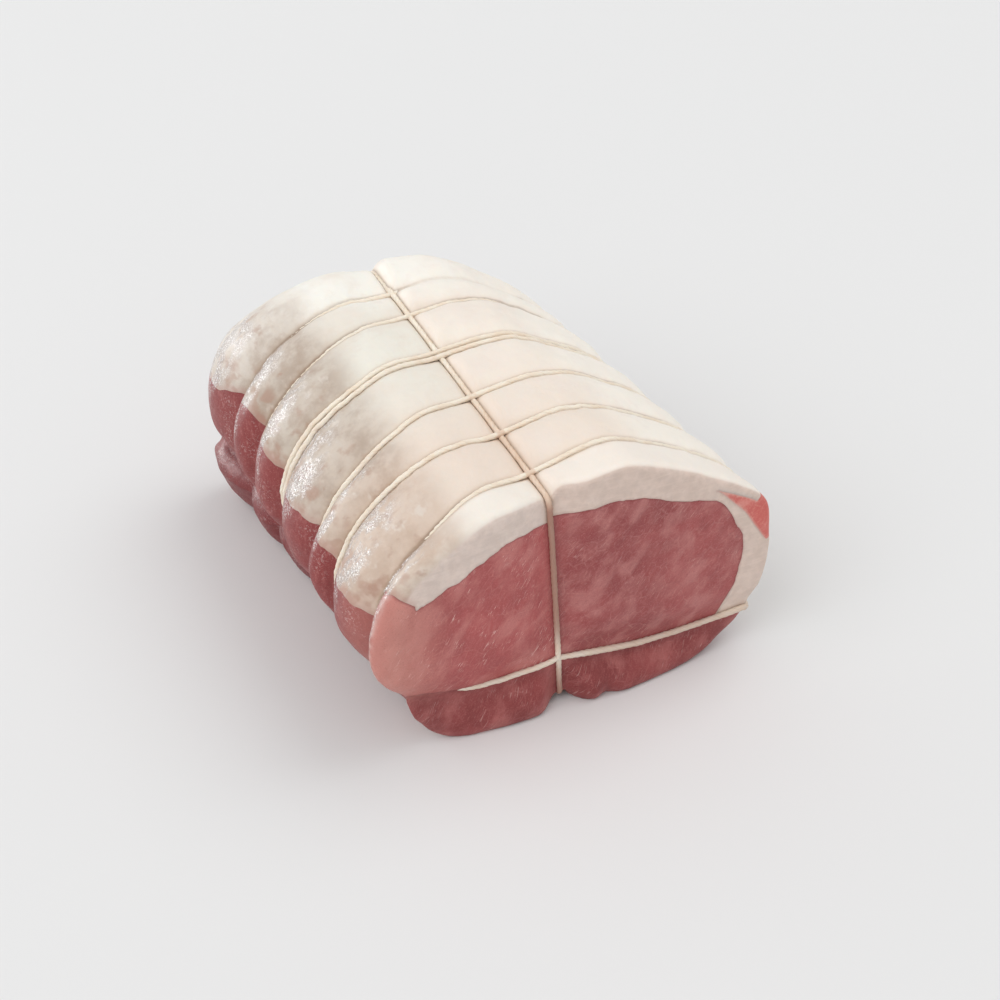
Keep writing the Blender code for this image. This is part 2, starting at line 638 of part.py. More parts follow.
def tube(path, axis):
    """A closed tube round a closed path."""
    along = np.roll(path, -1, axis=0) - np.roll(path, 1, axis=0)
    away = np.cross(along, axis)
    away /= np.linalg.norm(away, axis=1, keepdims=True)
    across = np.cross(along, away)
    across /= np.linalg.norm(across, axis=1, keepdims=True)
    bm = bmesh.new()
    turns = [2 * math.pi * (i + 0.5) / TWINE_SIDES for i in range(TWINE_SIDES)]
    rings = [
        [bm.verts.new(p + (u * math.cos(turn) + v * math.sin(turn)) * TWINE_RADIUS * MM) for turn in turns]
        for p, u, v in zip(path, away, across)
    ]
    join_rings(bm, rings + rings[:1])
    return bm


def twine():
    """All the strings joined into one solid where they cross."""
    bodies = bpy.data.collections.new("strings")
    bpy.context.scene.collection.children.link(bodies)
    paths = [(lengthwise_path(), (1.0, 0.0, 0.0)), (level_path(), (0.0, 0.0, 1.0))]
    for tie in TIES:
        for strand in range(tie.strands):
            offset = STRAND_PITCH * (strand - (tie.strands - 1) / 2)
            paths.append((tie_path(tie, offset), (0.0, 1.0, 0.0)))
    first = add_object("twine", closed_mesh(tube(*paths[0]), "twine"), TWINE_ROUGHNESS)
    for path, axis in paths[1:]:
        mesh = closed_mesh(tube(path, axis), "string")
        bodies.objects.link(bpy.data.objects.new("string", mesh))
    union = first.modifiers.new("union", "BOOLEAN")
    union.operation = "UNION"
    union.solver = "EXACT"
    union.operand_type = "COLLECTION"
    union.collection = bodies
    union.use_self = True
    bpy.context.view_layer.update()
    joined = bpy.data.meshes.new_from_object(first.evaluated_get(bpy.context.evaluated_depsgraph_get()))
    first.modifiers.clear()
    first.data = joined
    for body in list(bodies.objects):
        bpy.data.objects.remove(body, do_unlink=True)
    bpy.data.collections.remove(bodies)


def build():
    loft("fat_left", left_fat, FAT_ROUGHNESS)
    loft("fat_right", right_fat, FAT_ROUGHNESS)
    block("loin_left", left_loin, MEAT_ROUGHNESS)
    block("loin_right", right_loin, MEAT_ROUGHNESS)
    block("flap", flap, MEAT_ROUGHNESS)
    loft("side_lean", side_lean, MEAT_ROUGHNESS)
    twine()


for leftover in list(bpy.data.objects):
    bpy.data.objects.remove(leftover, do_unlink=True)
build()
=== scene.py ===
"""A raw veal loin roast, tied with twine, on a plain pale surface under soft light."""

from collections import namedtuple
from math import cos, pi, radians, sin

import bmesh
import bpy
import numpy as np
from mathutils import Matrix, Vector
from mathutils.geometry import delaunay_2d_cdt
from mathutils.kdtree import KDTree


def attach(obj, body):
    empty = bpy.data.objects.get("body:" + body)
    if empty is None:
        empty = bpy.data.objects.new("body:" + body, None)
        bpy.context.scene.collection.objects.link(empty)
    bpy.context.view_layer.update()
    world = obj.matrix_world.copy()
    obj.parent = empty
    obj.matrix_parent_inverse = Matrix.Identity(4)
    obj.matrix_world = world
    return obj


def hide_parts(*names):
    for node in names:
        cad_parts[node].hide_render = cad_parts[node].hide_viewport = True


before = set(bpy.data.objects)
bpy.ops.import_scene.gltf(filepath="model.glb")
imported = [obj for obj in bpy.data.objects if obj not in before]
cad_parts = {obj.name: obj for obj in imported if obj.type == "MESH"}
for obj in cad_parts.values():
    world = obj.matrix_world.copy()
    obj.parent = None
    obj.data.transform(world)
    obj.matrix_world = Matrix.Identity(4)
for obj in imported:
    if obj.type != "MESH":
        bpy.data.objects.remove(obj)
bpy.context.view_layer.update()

scene = bpy.context.scene

MM = 0.001
GAP = 0.03  # between the fat and the meat
CREASE_GAP = 0.1  # between the flap and what lies on it

# The planes that the strings pull the two cut faces to, and the middle of the finished roast.
FRONT_Y = -70
REAR_Y = 64.5
MIDDLE_X = 5.4
MIDDLE_Y = -0.6

# The outline, walked from the seam on top down the left side, under the roast and up the right side:
# each landmark's place (x, z) at the front, half way and at the rear, the depth of the fat and of a
# tie's bite, and how far the edge is rounded at the front and the rear.
Landmark = namedtuple("Landmark", "front middle rear fat bite front_round rear_round")
OUTLINE = [Landmark(*row) for row in (
    ((-4.4, 77.8), (-3.9, 78.4), (-3.2, 77.6), 9, 1.1, 2.5, 8),
    ((-21, 79.6), (-21, 79.6), (-20, 79), 12.8, 1.3, 3, 12),
    ((-38, 73.5), (-39, 73), (-37.5, 72.4), 14.2, 2, 5, 13),
    ((-51.5, 63.5), (-52, 63), (-51, 62), 10.8, 3.5, 8, 12),
    ((-59, 49.5), (-59.5, 49), (-57, 49), 10.5, 4.8, 9, 12),
    ((-58.5, 34.5), (-58.5, 35), (-57, 36), 10.5, 4.8, 8, 11),
    ((-48, 19.5), (-50, 20.5), (-53.5, 24.5), 10.5, 1.2, 5, 7),
    ((-43.5, 9.5), (-48, 10.5), (-58, 17), 0, 3, 5, 11),
    ((-31.5, -1.2), (-36.5, -1.2), (-44.5, -1.2), 0, 4, 5, 10),
    ((1.6, -1.2), (1.6, -1.2), (1.6, -1.2), 0, 4.2, 5, 5),
    ((44, -1.2), (40, -1.2), (34, -1.2), 0, 4.2, 4, 5),
    ((59, 5), (51.5, 5), (44.5, 5), 0, 3, 4, 7),
    ((65.5, 13.5), (57, 13.4), (49.5, 13), 11.5, 2, 3, 7),
    ((70, 27), (61, 27), (53, 28), 11.5, 2, 3, 8),
    ((70.7, 42), (61.2, 42), (53, 43), 10, 1.5, 2.2, 8),
    ((67, 57), (58, 57), (49.5, 56), 12, 1.3, 1.4, 9),
    ((49, 70.5), (42.5, 70), (36.5, 69), 9.8, 1.2, 2.5, 10),
    ((24, 83), (22.5, 79.8), (19, 79.2), 12.5, 1, 2.5, 11),
    ((-0.5, 81.2), (-0.2, 81.2), (1.5, 80.4), 11, 1, 2.5, 8),
)]
LEFT_CREASE = 6
LEFT_FOOT = 8
UNDER_SEAM = 9
RIGHT_FOOT = 10
RIGHT_CREASE = 12
LAST = len(OUTLINE) - 1

# Where the left sheet of fat ends on the flank: y, and where its outer and inner edge lie on the walk.
FAT_ENDS = (
    (-70, 3.08, 3), (-59.5, 3.08, 2.9), (-57.5, 3.9, 3.5), (-38.5, 3.9, 3.5),
    (-35, 3.7, 3.4), (-27, 3.6, 3.3), (-4, 3.75, 3.45), (19, 3.6, 3.3),
    (37, 3.35, 3.05), (46, 3.5, 3.2), (52, 3.8, 3.5), (64.5, 4.1, 3.8),
)
FAT_TURN = 15.2  # where the right sheet's inner border turns from the top to the side
FAT_SIDE_END = 12.8
LOIN_CORNER = 15.65  # where the right loin's upper corner comes nearer the skin
LOIN_CORNER_HALF = 0.36
LOIN_CORNER_RISE = 3.2
FAT_FOOT_WIDTH = 9
REAR_DEEPER = 5
REAR_DEEPER_REACH = 13
THINNEST_FAT = 3
FAT_TIP_BULGE = 1.2
SEAM_LEFT_EDGE = 0.06  # where the sheets' tops begin beside the seam
SEAM_RIGHT_EDGE = 17.86

# The strip of lean in the right shoulder: where it shows, where its thin end lies, and its depth.
LEAN_BOTTOM = 13.95
LEAN_TOP = 15.1
LEAN_TOP_FALL = 0.35
LEAN_TIP = 15.8
LEAN_SKIN = 1
LEAN_TIP_DEPTH = 1.9
LEAN_DEPTH = 4.8
FAT_UNDER_LEAN = 1.6
LEAN_TIP_GAP = 0.03

# Ties from the rear to the front: where each crosses the seam, the left flank and the right shoulder.
Tie = namedtuple("Tie", "seam left right strands")
TIES = (
    Tie(44.1, 42.2, 39.7, 1),
    Tie(30.1, 23.7, 28.3, 1),
    Tie(6.6, 1.5, 4.8, 2),
    Tie(-17.5, -26, -16.8, 1),
    Tie(-37.5, -40.7, -36.6, 1),
    Tie(-57.8, -66.2, -56.1, 1),
)
STRAND_PITCH = 2.4
CHANNEL_HALF = 1.4
HALF_LOBE = 10
LOBE_POWER = 2.4
FLANK_REACH = 52
FRONT_LEFT = -3
REAR_LEFT = 8
REAR_RIGHT = -13

# The grooves under the strings and their depth along the walk; the rearmost one fades on the right.
GROOVE_HALF = 0.9
GROOVE_DEPTH = 0.8
GROOVE_ALONG = ((0, 1), (13, 1), (15, 0.6), (16.3, 0.45), (17.2, 0.8), (18, 1))
REAR_FADE = 0.7
REAR_FADE_FROM = 15.5

# Valleys along the creases (place on the walk, depth, half width), and the notch that each tie bites
# into the right sheet's edge.
VALLEYS = ((LEFT_CREASE, 2.4, 0.16), (RIGHT_CREASE, 0.8, 0.14))
STEP_NOTCH = 1.8
STEP_NOTCH_HALF = 0.34

# The seam, and the channels of the lengthwise string on top and underneath.
SEAM_FOOT_X = 2.5
SEAM_LEAN = -0.06
SEAM_DRIFT = 1.4
SEAM_TOP_Z = 80
SEAM_FLOOR_Z = 76.3
SEAM_FLOOR_LEFT = 0.7
SEAM_FLOOR_RIGHT = 0.35
UNDER_CHANNEL = 3.2
UNDER_CHANNEL_SLOPE = 2.5

# The crease between the loins and the flap: its height at the seam, its two ends (x, z) and their sags.
CREASE_Z = 17.4
CREASE_SIDES = ((-50, 19.5, 4.6), (62.5, 13.5, 2.8))

# How the meat swells out of the cut faces between the strings.
LOIN_SWELL = 3
FLAP_SWELL = 6.3
SWELL_REACHES = (7, 4.5)  # on the loins and on the flap
FLAP_SWELL_HALF = 46
FLAP_SWELL_MIDDLE = 9
SWELL_FADE = 14
REAR_SWELL = 0.6
CREASE_PULL = 2
CREASE_PULL_REACH = 3.5
CREASE_PULL_FROM = -22
CREASE_PULL_FULL = -42
FACE_FADE = 4

# A small notch in the flap's lower edge.
NICK_X = 16
NICK_DEPTH = 2.4
NICK_HALF = 2.6
NICK_HEIGHT = 7

# Layers of unevenness: height, size and seed of each.
SKIN_LUMPS = ((0.5, 13, 1), (0.26, 5.5, 2), (0.1, 2.2, 3))
BORDER_WAVES = ((0.5, 7, 11), (0.32, 2.6, 12), (0.14, 1.1, 13))
FACE_LUMPS = ((0.4, 11, 21), (0.18, 4, 22), (0.07, 1.7, 23))
FAT_END_WAVES = ((0.05, 6, 31), (0.03, 2, 32))
TWINE_LUMPS = ((0.07, 7, 41), (0.06, 2.5, 42), (0.05, 1.1, 43))
PUCKER_HEIGHT = 0.22
PUCKER_SIZE = 2.6

# Distances between section planes and points inside a cut face, and points along a ring's stretches.
ROW_STEP = 0.8
CAP_STEP = 0.8
CAP_ROW_SHARE = 0.87
CAP_CLEARANCE = 0.45
END_REACH = 8
END_ROWS = 16
SHEET_POINTS = 90
SHOULDER_POINTS = 84
FLANK_POINTS = 50
SIDE_POINTS = 30
LEAN_POINTS = 18
POCKET_POINTS = 30
TIP_POINTS = 6
TOP_POINTS = 36
INNER_POINTS = 22
FACE_STEPS = 60
SHARP_ANGLE = radians(52)

# The twine.
TWINE_RADIUS = 0.88
TWINE_STEP = 0.6
TWINE_SIDES = 12
PLIES = 3
PLY_PITCH = 6.5
PLY_DEPTH = 0.16
LOOSER_TWINE = 0.15  # share by which it is thicker on the right half of the front cut
FACE_LIFT = 0.5
HIDDEN_LIFT = -2
SEAM_LIFT = 0.65
SEAM_TUCK = 1.2
SEAM_TUCK_Y = 45  # behind it the lengthwise string lies deep in the seam
TIE_OVER_SEAM = 1.3
TIE_EASE_REACH = 7
TIE_EASE_ROUNDS = 12

# How far a tie's middle lies outside the skin along the walk, and how much deeper each is sunk there.
TIE_LIFTS = (
    (0, 0), (5.05, 0), (5.3, -2), (7.4, -2), (7.7, 0),
    (13.5, 0), (15, -0.4), (16.3, -0.5), (17, -0.15), (17.6, 0), (18, 0.1),
)
TIE_SINKS_AT = (0.3, 1, 2.2, 3.4, 4.6, 15, 16)
TIE_SINKS = (
    (0.6, 1.2, 1.65, 1.75, 1, 0, 1.6),
    (0.5, 1.05, 1.6, 1.45, 0.4, 0, 0.85),
    (0, 0, 0, 0, 0, 0, 0.1),
    (0.1, 0.1, 0.15, 0.2, 0.1, 0, 0.2),
    (0.1, 0.15, 0.1, 0.3, 0.3, 0, 0.2),
    (0.1, 0.85, 1.62, 1.78, 1.5, 0, 0.2),
)

# How the level string dives into the crease left of the seam: share of the way, and lift.
LEVEL_DIVE = ((0, 0), (0.45, -0.1), (0.68, -0.9), (0.8, HIDDEN_LIFT), (0.88, -3.5))

# Where colours change.
CRISP = 0.6
SOFT = 6
AHEAD_Y = -59
# Painted brownish shade beside the seam reaches about this far, in mm.
SEAM_SHADE_REACH = 3.4
# Painted shade beside the strings reaches about this far, in mm.
STRING_SHADE_REACH = 0.9
MEAT_TOP = 68
FACE_TOP = 78
FACE_STRINGS = -64
REAR_STRINGS = 56
LEVEL_Z = 19
LEVEL_REACH = 8
# The way that the shoulders with painted glints face.
GLINT_FACING = (-0.8, 0.35, 0.5)
# The colour of the painted glints.
GLINT_WHITE = (250, 247, 244)
PALE_COTTON = (248, 238, 222)

# The camera follows the foot of the front cut, which lies at FOLLOWED_PX in the picture.
FOLLOWED = Vector((-0.0038, -0.0694, 0))
FOLLOWED_PX = (557, 700)
FOCAL_PX = 2600
PICTURE_PX = 1000
SENSOR = 36
DISTANCE = 0.7738
AZIMUTH = radians(-25)
ELEVATION = radians(38)

# The shares of the floor's light that the two suns add, and the light from all round.
KEY = 0.18
FILL = 0.24
WORLD = 0.6
FLOOR_COLOUR = (0.795, 0.797, 0.797, 1)


def smooth(t):
    """A soft step from 0 to 1."""
    t = np.clip(t, 0, 1)
    return t * t * (3 - 2 * t)


def bell(distance, reach):
    """1 at no distance, falling off to 0 over about reach."""
    return np.exp(-((distance / reach) ** 2))


def even(start, end, count):
    return np.linspace(start, end, count)


def unit(vectors):
    """The same directions with length 1."""
    return vectors / np.linalg.norm(vectors, axis=-1, keepdims=True)


def noise(points, size, seed):
    """Smooth noise from -1 to 1 whose patches are about size mm across."""
    p = np.asarray(points, dtype=float) / size + 31.7 * (seed + 1)
    cell = np.floor(p).astype(np.int64)
    t = p - cell
    t = t * t * (3 - 2 * t)
    total = 0
    for corner in np.ndindex(2, 2, 2):
        c = cell + np.array(corner)
        mixed = c[..., 0] * 73856093 ^ c[..., 1] * 19349663 ^ c[..., 2] * 83492791 ^ (seed * 2654435)
        mixed = ((mixed ^ (mixed >> 13)) & 0xFFFFFFF) * 1274126177 & 0xFFFFFFFF
        mixed = mixed ^ (mixed >> 16)
        weight = np.prod(np.where(np.array(corner) == 1, t, 1 - t), axis=-1)
        total = total + ((mixed & 0xFFFF) / 32767.5 - 1) * weight
    return total


def unevenness(points, layers):
    """Layers of noise on top of each other."""
    return sum(height * noise(points, size, seed) for height, size, seed in layers)


def spots_at(y, points):
    """Points (x, z) of the section at y as places in space."""
    return np.column_stack([points[:, 0], np.full(len(points), y), points[:, 1]])


def column(name, s):
    """A landmark's number, blended along the walk."""
    return np.interp(s, range(len(OUTLINE)), [getattr(landmark, name) for landmark in OUTLINE])


def landmarks_at(y):
    """The landmarks at y, on a curve through the front, middle and rear ones."""
    w = (y - FRONT_Y) / (REAR_Y - FRONT_Y)
    front, middle, rear = (np.array([getattr(k, n) for k in OUTLINE]) for n in ("front", "middle", "rear"))
    return front * (1 - w) * (1 - 2 * w) + middle * 4 * w * (1 - w) + rear * w * (2 * w - 1)


def walk(y, s):
    """Points (x, z) and outward normals on the smooth outline at y, before ties and rounding."""
    marks = landmarks_at(y)
    marks = np.vstack([2 * marks[0] - marks[1], marks, 2 * marks[-1] - marks[-2]])
    k = np.clip(np.floor(s).astype(int), 0, len(OUTLINE) - 2)
    t = (s - k)[:, None]
    p0, p1, p2, p3 = (marks[k + i] for i in range(4))
    bend = 2 * p0 - 5 * p1 + 4 * p2 - p3
    twist = 3 * p1 - 3 * p2 + p3 - p0
    points = 0.5 * (2 * p1 + (p2 - p0) * t + bend * t**2 + twist * t**3)
    along = unit((p2 - p0) + 2 * bend * t + 3 * twist * t**2)
    return points, np.stack([along[:, 1], -along[:, 0]], axis=1)


def channel(tie):
    """Where a tie's channel in the roast starts and ends."""
    half = CHANNEL_HALF + STRAND_PITCH / 2 * (tie.strands - 1)
    return tie.seam - half, tie.seam + half


def tie_depth(y):
    """Share of the full bite at y: 1 in a tie's channel, 0 on the crest between two ties."""
    edges = [channel(tie) for tie in TIES]
    ahead = [low - y for low, high in edges if y < low]
    behind = [y - high for low, high in edges if y > high]
    if len(ahead) + len(behind) < len(edges):
        return 1
    reach = (min(ahead) + min(behind)) / 2 if ahead and behind else HALF_LOBE
    return max(0, 1 - min(ahead + behind) / reach) ** LOBE_POWER


def rounding(distance, radius):
    """How far a rounded edge has drawn in at a distance from the end plane."""
    left = np.clip(radius - distance, 0, radius)
    return radius - np.sqrt(radius**2 - left**2)


def surface_inset(y, s):
    """How far the roast's skin lies inside the smooth outline."""
    front = rounding(y - FRONT_Y, column("front_round", s))
    rear = rounding(REAR_Y - y, column("rear_round", s))
    return column("bite", s) * tie_depth(y) + front + rear


def strand_offsets(tie):
    """How far before or behind the tie's middle each of its strands lies."""
    return [STRAND_PITCH * (k - (tie.strands - 1) / 2) for k in range(tie.strands)]


def groove_depth(y, s):
    """Depth of the grooves that the ties press into the skin."""
    deepest = np.zeros(len(s))
    for tie in TIES:
        fading = 1 - REAR_FADE * smooth(s - REAR_FADE_FROM) if tie is TIES[0] else 1
        for offset in strand_offsets(tie):
            deepest = np.maximum(deepest, fading * bell(y - tie.seam - offset, GROOVE_HALF))
    return GROOVE_DEPTH * deepest * np.interp(s, *zip(*GROOVE_ALONG))


def relief(y, s, points):
    """How far the skin dips below its even shape: soft lumps, finer ripples and the creases."""
    spots = spots_at(y, points)
    puckers = noise(spots * (1, 0.3, 1), PUCKER_SIZE, 4) * tie_depth(y) ** 0.6
    beside_seam = 0.25 + 0.75 * smooth(np.minimum(s, LAST - s) / 0.5)
    lumps = (unevenness(spots, SKIN_LUMPS) + PUCKER_HEIGHT * puckers) * beside_seam
    under = (s > LEFT_FOOT - 0.5) & (s < RIGHT_FOOT + 0.5)
    ends = smooth((y - FRONT_Y - 1) / 6) * smooth((REAR_Y - 2 - y) / 8)
    valleys = ends * sum(depth * bell(s - at, half) for at, depth, half in VALLEYS)
    step = STEP_NOTCH * tie_depth(y) ** 2 * bell(LAST - s, STEP_NOTCH_HALF)
    return np.where(under, 0, lumps + groove_depth(y, s)) + valleys + step


def skin(y, s, inset=0):
    """Points on the roast's skin at y, moved inwards by inset; the underside is pressed flat."""
    s = np.atleast_1d(s)
    points, normals = walk(y, s)
    moved = surface_inset(y, s) + inset + relief(y, s, points)
    points = points - normals * moved[:, None]
    beside = np.abs(points[:, 0] - SEAM_FOOT_X) - CHANNEL_HALF
    floor = UNDER_CHANNEL * (1 - smooth(beside / UNDER_CHANNEL_SLOPE))
    below = (s > LEFT_FOOT) & (s < RIGHT_FOOT)
    points[:, 1] = np.maximum(points[:, 1], np.where(below, floor, 0) + inset)
    return points


def fat_depth(y, s):
    """Depth of the border between fat and meat under the smooth outline."""
    deeper = REAR_DEEPER * (1 - smooth((REAR_Y - y) / REAR_DEEPER_REACH))
    corner = LOIN_CORNER_RISE * bell(np.asarray(s) - LOIN_CORNER, LOIN_CORNER_HALF)
    return np.maximum(column("fat", s) + deeper - corner, surface_inset(y, s) + THINNEST_FAT)


def fat_border(y, s, away):
    """The border between fat and meat, moved inwards by away."""
    points, normals = walk(y, s)
    uneven = unevenness(spots_at(y, points), BORDER_WAVES)
    return points - normals * (fat_depth(y, s) + uneven + away)[:, None]


def seam_x(y, z):
    """Where the seam between the two loins lies at height z."""
    drift = SEAM_DRIFT * (y - FRONT_Y) / (REAR_Y - FRONT_Y)
    return SEAM_FOOT_X + (SEAM_LEAN + drift / SEAM_TOP_Z) * z


def crease_z(y, x):
    """Height of the crease above the flap: two shallow sags that meet at the seam."""
    middle = seam_x(y, CREASE_Z)
    height = CREASE_Z
    for end_x, end_z, sag in CREASE_SIDES:
        share = np.clip((x - middle) / (end_x - middle), 0, 1.2)
        height = height + (end_z - CREASE_Z) * share - 4 * sag * share * (1 - share)
    return height


def crease(y, shares, side, lift):
    """Points along the crease from the seam (share 0) to the left (side -1) or right skin (share 1)."""
    end = skin(y, LEFT_CREASE if side < 0 else RIGHT_CREASE)[0]
    start_x = seam_x(y, CREASE_Z)
    x = start_x + (end[0] - start_x) * shares
    z = crease_z(y, x) + (end[1] - crease_z(y, end[0])) * shares
    return np.stack([x, z + lift], axis=1)


def face_swell(y, x, z):
    """How far a cut face stands proud of the strings' plane at (x, z)."""
    beside = np.maximum(np.abs(x - seam_x(y, z)) - CHANNEL_HALF, 0)
    above = z - crease_z(y, x)
    away = np.maximum(np.abs(above) - CHANNEL_HALF, 0)
    loin, flap = ((1 - bell(beside, reach)) * (1 - bell(away, reach)) for reach in SWELL_REACHES)
    fade = np.clip(1 - ((x - FLAP_SWELL_MIDDLE) / FLAP_SWELL_HALF) ** 2, 0, 1)
    pull = smooth((CREASE_PULL_FROM - x) / (CREASE_PULL_FROM - CREASE_PULL_FULL))
    pull = CREASE_PULL * pull * bell(above, CREASE_PULL_REACH)
    return np.where(above > 0, LOIN_SWELL * loin, FLAP_SWELL * fade * flap) - pull


def face_relief(x, z):
    """The unevenness of a cut face."""
    spots = np.stack([x, np.full(np.shape(x), 5), z], axis=-1)
    return unevenness(spots, FACE_LUMPS) - NICK_DEPTH * bell(x - NICK_X, NICK_HALF) * bell(z, NICK_HEIGHT)


def sweep(y, x):
    """How far the section planes lean along the roast on both sides of the seam."""
    knots, left, right = [FRONT_Y], [FRONT_LEFT], [0]
    for tie in reversed(TIES):
        knots += channel(tie)
        left += [tie.left - tie.seam] * 2
        right += [tie.right - tie.seam] * 2
    left = np.interp(y, knots + [REAR_Y], left + [REAR_LEFT])
    right = np.interp(y, knots + [REAR_Y], right + [REAR_RIGHT])
    away = (x - seam_x(y, SEAM_TOP_Z)) / FLANK_REACH
    return np.where(away < 0, left * smooth(-away), right * smooth(away))


def place(y, points):
    """Turns points (x, z) of the section at y into places on the finished roast, in mm."""
    x, z = points[..., 0], points[..., 1]
    swell, uneven = face_swell(y, x, z), face_relief(x, z)
    front, rear = y - FRONT_Y, REAR_Y - y
    along = y + sweep(y, x)
    along -= swell * (1 - smooth(front / SWELL_FADE)) + uneven * (1 - smooth(front / FACE_FADE))
    along += REAR_SWELL * swell * (1 - smooth(rear / SWELL_FADE)) + uneven * (1 - smooth(rear / FACE_FADE))
    return np.stack([x - MIDDLE_X, along - MIDDLE_Y, z], axis=-1)


def stations():
    """The y of the section planes, closer together at the rounded ends."""
    inner = np.arange(FRONT_Y + END_REACH, REAR_Y - END_REACH, ROW_STEP)
    curve = END_REACH * (1 - np.cos(even(0, pi / 2, END_ROWS)))
    return np.unique(np.round(np.concatenate([FRONT_Y + curve, inner, REAR_Y - curve]), 3))


def fat_end(y):
    """Where the left sheet's outer and inner edge lie on the walk at y."""
    uneven = unevenness([[0, y, 0]], FAT_END_WAVES)[0]
    ys, outer, inner = zip(*FAT_ENDS)
    return np.interp(y, ys, outer) + uneven, np.interp(y, ys, inner) + uneven


def seam_points(y, z, side):
    """Points in the seam at heights z, half a gap to the left (side -1) or right of it (+1)."""
    z = np.atleast_1d(z)
    return np.stack([seam_x(y, z) + side * GAP / 2, z], axis=1)


def seam_border(y, start, end, side, away):
    """The fat border from the seam outwards along the walk."""
    line = fat_border(y, even(start, end, TOP_POINTS), away)
    line[0] = seam_points(y, line[0, 1], side)[0]
    return line


def seam_floor(y):
    """Height of the channel that the lengthwise string lies in, drawn in at the rounded ends."""
    return SEAM_FLOOR_Z - surface_inset(y, 0) + column("bite", 0) * tie_depth(y)


def seam_channel(y, side, edge):
    """The channel's profile from the seam past the string and up to the sheet's rounded edge."""
    floor = seam_points(y, seam_floor(y), side)[0]
    start = floor[0] - SEAM_FLOOR_LEFT if side < 0 else floor[0] + SEAM_FLOOR_RIGHT
    t = even(0, 1, 12)[:-1]
    x = start + (edge[0] - start) * t**1.25
    z = floor[1] + (edge[1] - floor[1]) * (1 - (1 - t) ** 2.1)
    return np.vstack([floor, np.stack([x, z], axis=1)])


def fat_foot(y, away):
    """The inner corner of the right sheet where it stands on the flap."""
    right_x = skin(y, RIGHT_CREASE)[0, 0]
    share = 1 - FAT_FOOT_WIDTH / (right_x - seam_x(y, CREASE_Z))
    corner = crease(y, np.array([share]), 1, CREASE_GAP / 2)
    return corner + [[-away, 0]], share


def fat_tip(y, outer, inner):
    """The sheet's blunt end from its outer to its inner edge, bulging downwards."""
    share = even(0, 1, TIP_POINTS + 2)[1:-1, None]
    line = outer + (inner - outer) * share
    down = np.array([outer[1] - inner[1], inner[0] - outer[0]])
    bulge = FAT_TIP_BULGE * (np.sin(pi * share) + 0.35 * np.sin(3 * pi * share + 0.4 * y))
    return line - bulge * unit(down)


def left_fat(y):
    outer_end, inner_end = fat_end(y)
    outer = skin(y, even(SEAM_LEFT_EDGE, outer_end, SHEET_POINTS))
    inner = seam_border(y, 0, inner_end, -1, -GAP / 2)[::-1]
    return np.concatenate([outer, fat_tip(y, outer[-1], inner[0]), inner, seam_channel(y, -1, outer[0])])


def left_loin(y):
    outer_end, inner_end = fat_end(y)
    flank = skin(y, even(LEFT_CREASE, outer_end + 0.003, FLANK_POINTS))[1:]
    inner = seam_border(y, 0, inner_end, -1, GAP / 2)[::-1]
    tip = fat_tip(y, flank[-1], inner[0])
    bottom = crease(y, even(0, 1, 24), -1, CREASE_GAP / 2)
    bottom[0, 0] -= GAP / 2
    seam = seam_points(y, even(inner[-1, 1], bottom[0, 1], 20)[1:-1], -1)
    return np.concatenate([flank, tip, inner, seam, bottom])


def right_loin(y):
    top = seam_border(y, LAST, FAT_TURN, 1, GAP / 2)
    side = fat_border(y, even(FAT_TURN, FAT_SIDE_END, INNER_POINTS), GAP / 2)[1:]
    foot, share = fat_foot(y, GAP / 2)
    bottom = crease(y, even(share, 0, 24), 1, CREASE_GAP / 2)
    bottom[-1, 0] += GAP / 2
    bottom[0] = foot[0]
    seam = seam_points(y, even(bottom[-1, 1], top[0, 1], 22)[1:-1], 1)
    return np.concatenate([top, side, bottom, seam])


def lean_depths(y, s):
    """The lean strip's upper and lower side as depths under the skin."""
    skin_depth = np.interp(s, [LEAN_TOP, LEAN_TIP], [LEAN_SKIN, LEAN_TIP_DEPTH])
    share = np.clip((s - LEAN_BOTTOM) / (LEAN_TIP - LEAN_BOTTOM), 0, 1)
    depth = LEAN_TIP_DEPTH * share + LEAN_DEPTH * np.sin(pi * share)
    return skin_depth, np.minimum(depth, fat_depth(y, s) - surface_inset(y, s) - FAT_UNDER_LEAN)


def lean_top(y):
    """Where the strip's upper edge shows: highest at the front cut."""
    return LEAN_TOP - LEAN_TOP_FALL * smooth((y - FRONT_Y - 1) / 9)


def lean_border(y, top, tip, away):
    """The strip's buried border at y: under the skin from its top to its tip, then back below."""
    covered = np.concatenate([[top], even(top, LEAN_TIP, 10)[1:-1]])
    below = even(LEAN_TIP, LEAN_BOTTOM, POCKET_POINTS - 8)[1:-1]
    upper = skin(y, covered, lean_depths(y, covered)[0] - away)
    end = skin(y, tip, LEAN_TIP_DEPTH)
    lower = skin(y, below, lean_depths(y, below)[1] + away)
    return np.concatenate([upper, end, lower])


def side_lean(y):
    shown = even(LEAN_BOTTOM, lean_top(y), LEAN_POINTS)
    return np.concatenate([skin(y, shown), lean_border(y, shown[-1], LEAN_TIP, 0)])


def right_fat(y):
    over = skin(y, even(SEAM_RIGHT_EDGE, lean_top(y) + 0.005, SHOULDER_POINTS))
    pocket = lean_border(y, lean_top(y) + 0.005, LEAN_TIP + LEAN_TIP_GAP, GAP)
    side = skin(y, even(LEAN_BOTTOM - 0.005, RIGHT_CREASE + 0.01, SIDE_POINTS))
    foot, _ = fat_foot(y, -GAP / 2)
    inner = fat_border(y, even(FAT_SIDE_END, FAT_TURN, INNER_POINTS), -GAP / 2)
    top = seam_border(y, LAST, FAT_TURN, 1, -GAP / 2)[-2::-1]
    return np.concatenate([over, pocket, side, foot, inner, top, seam_channel(y, 1, over[0])])


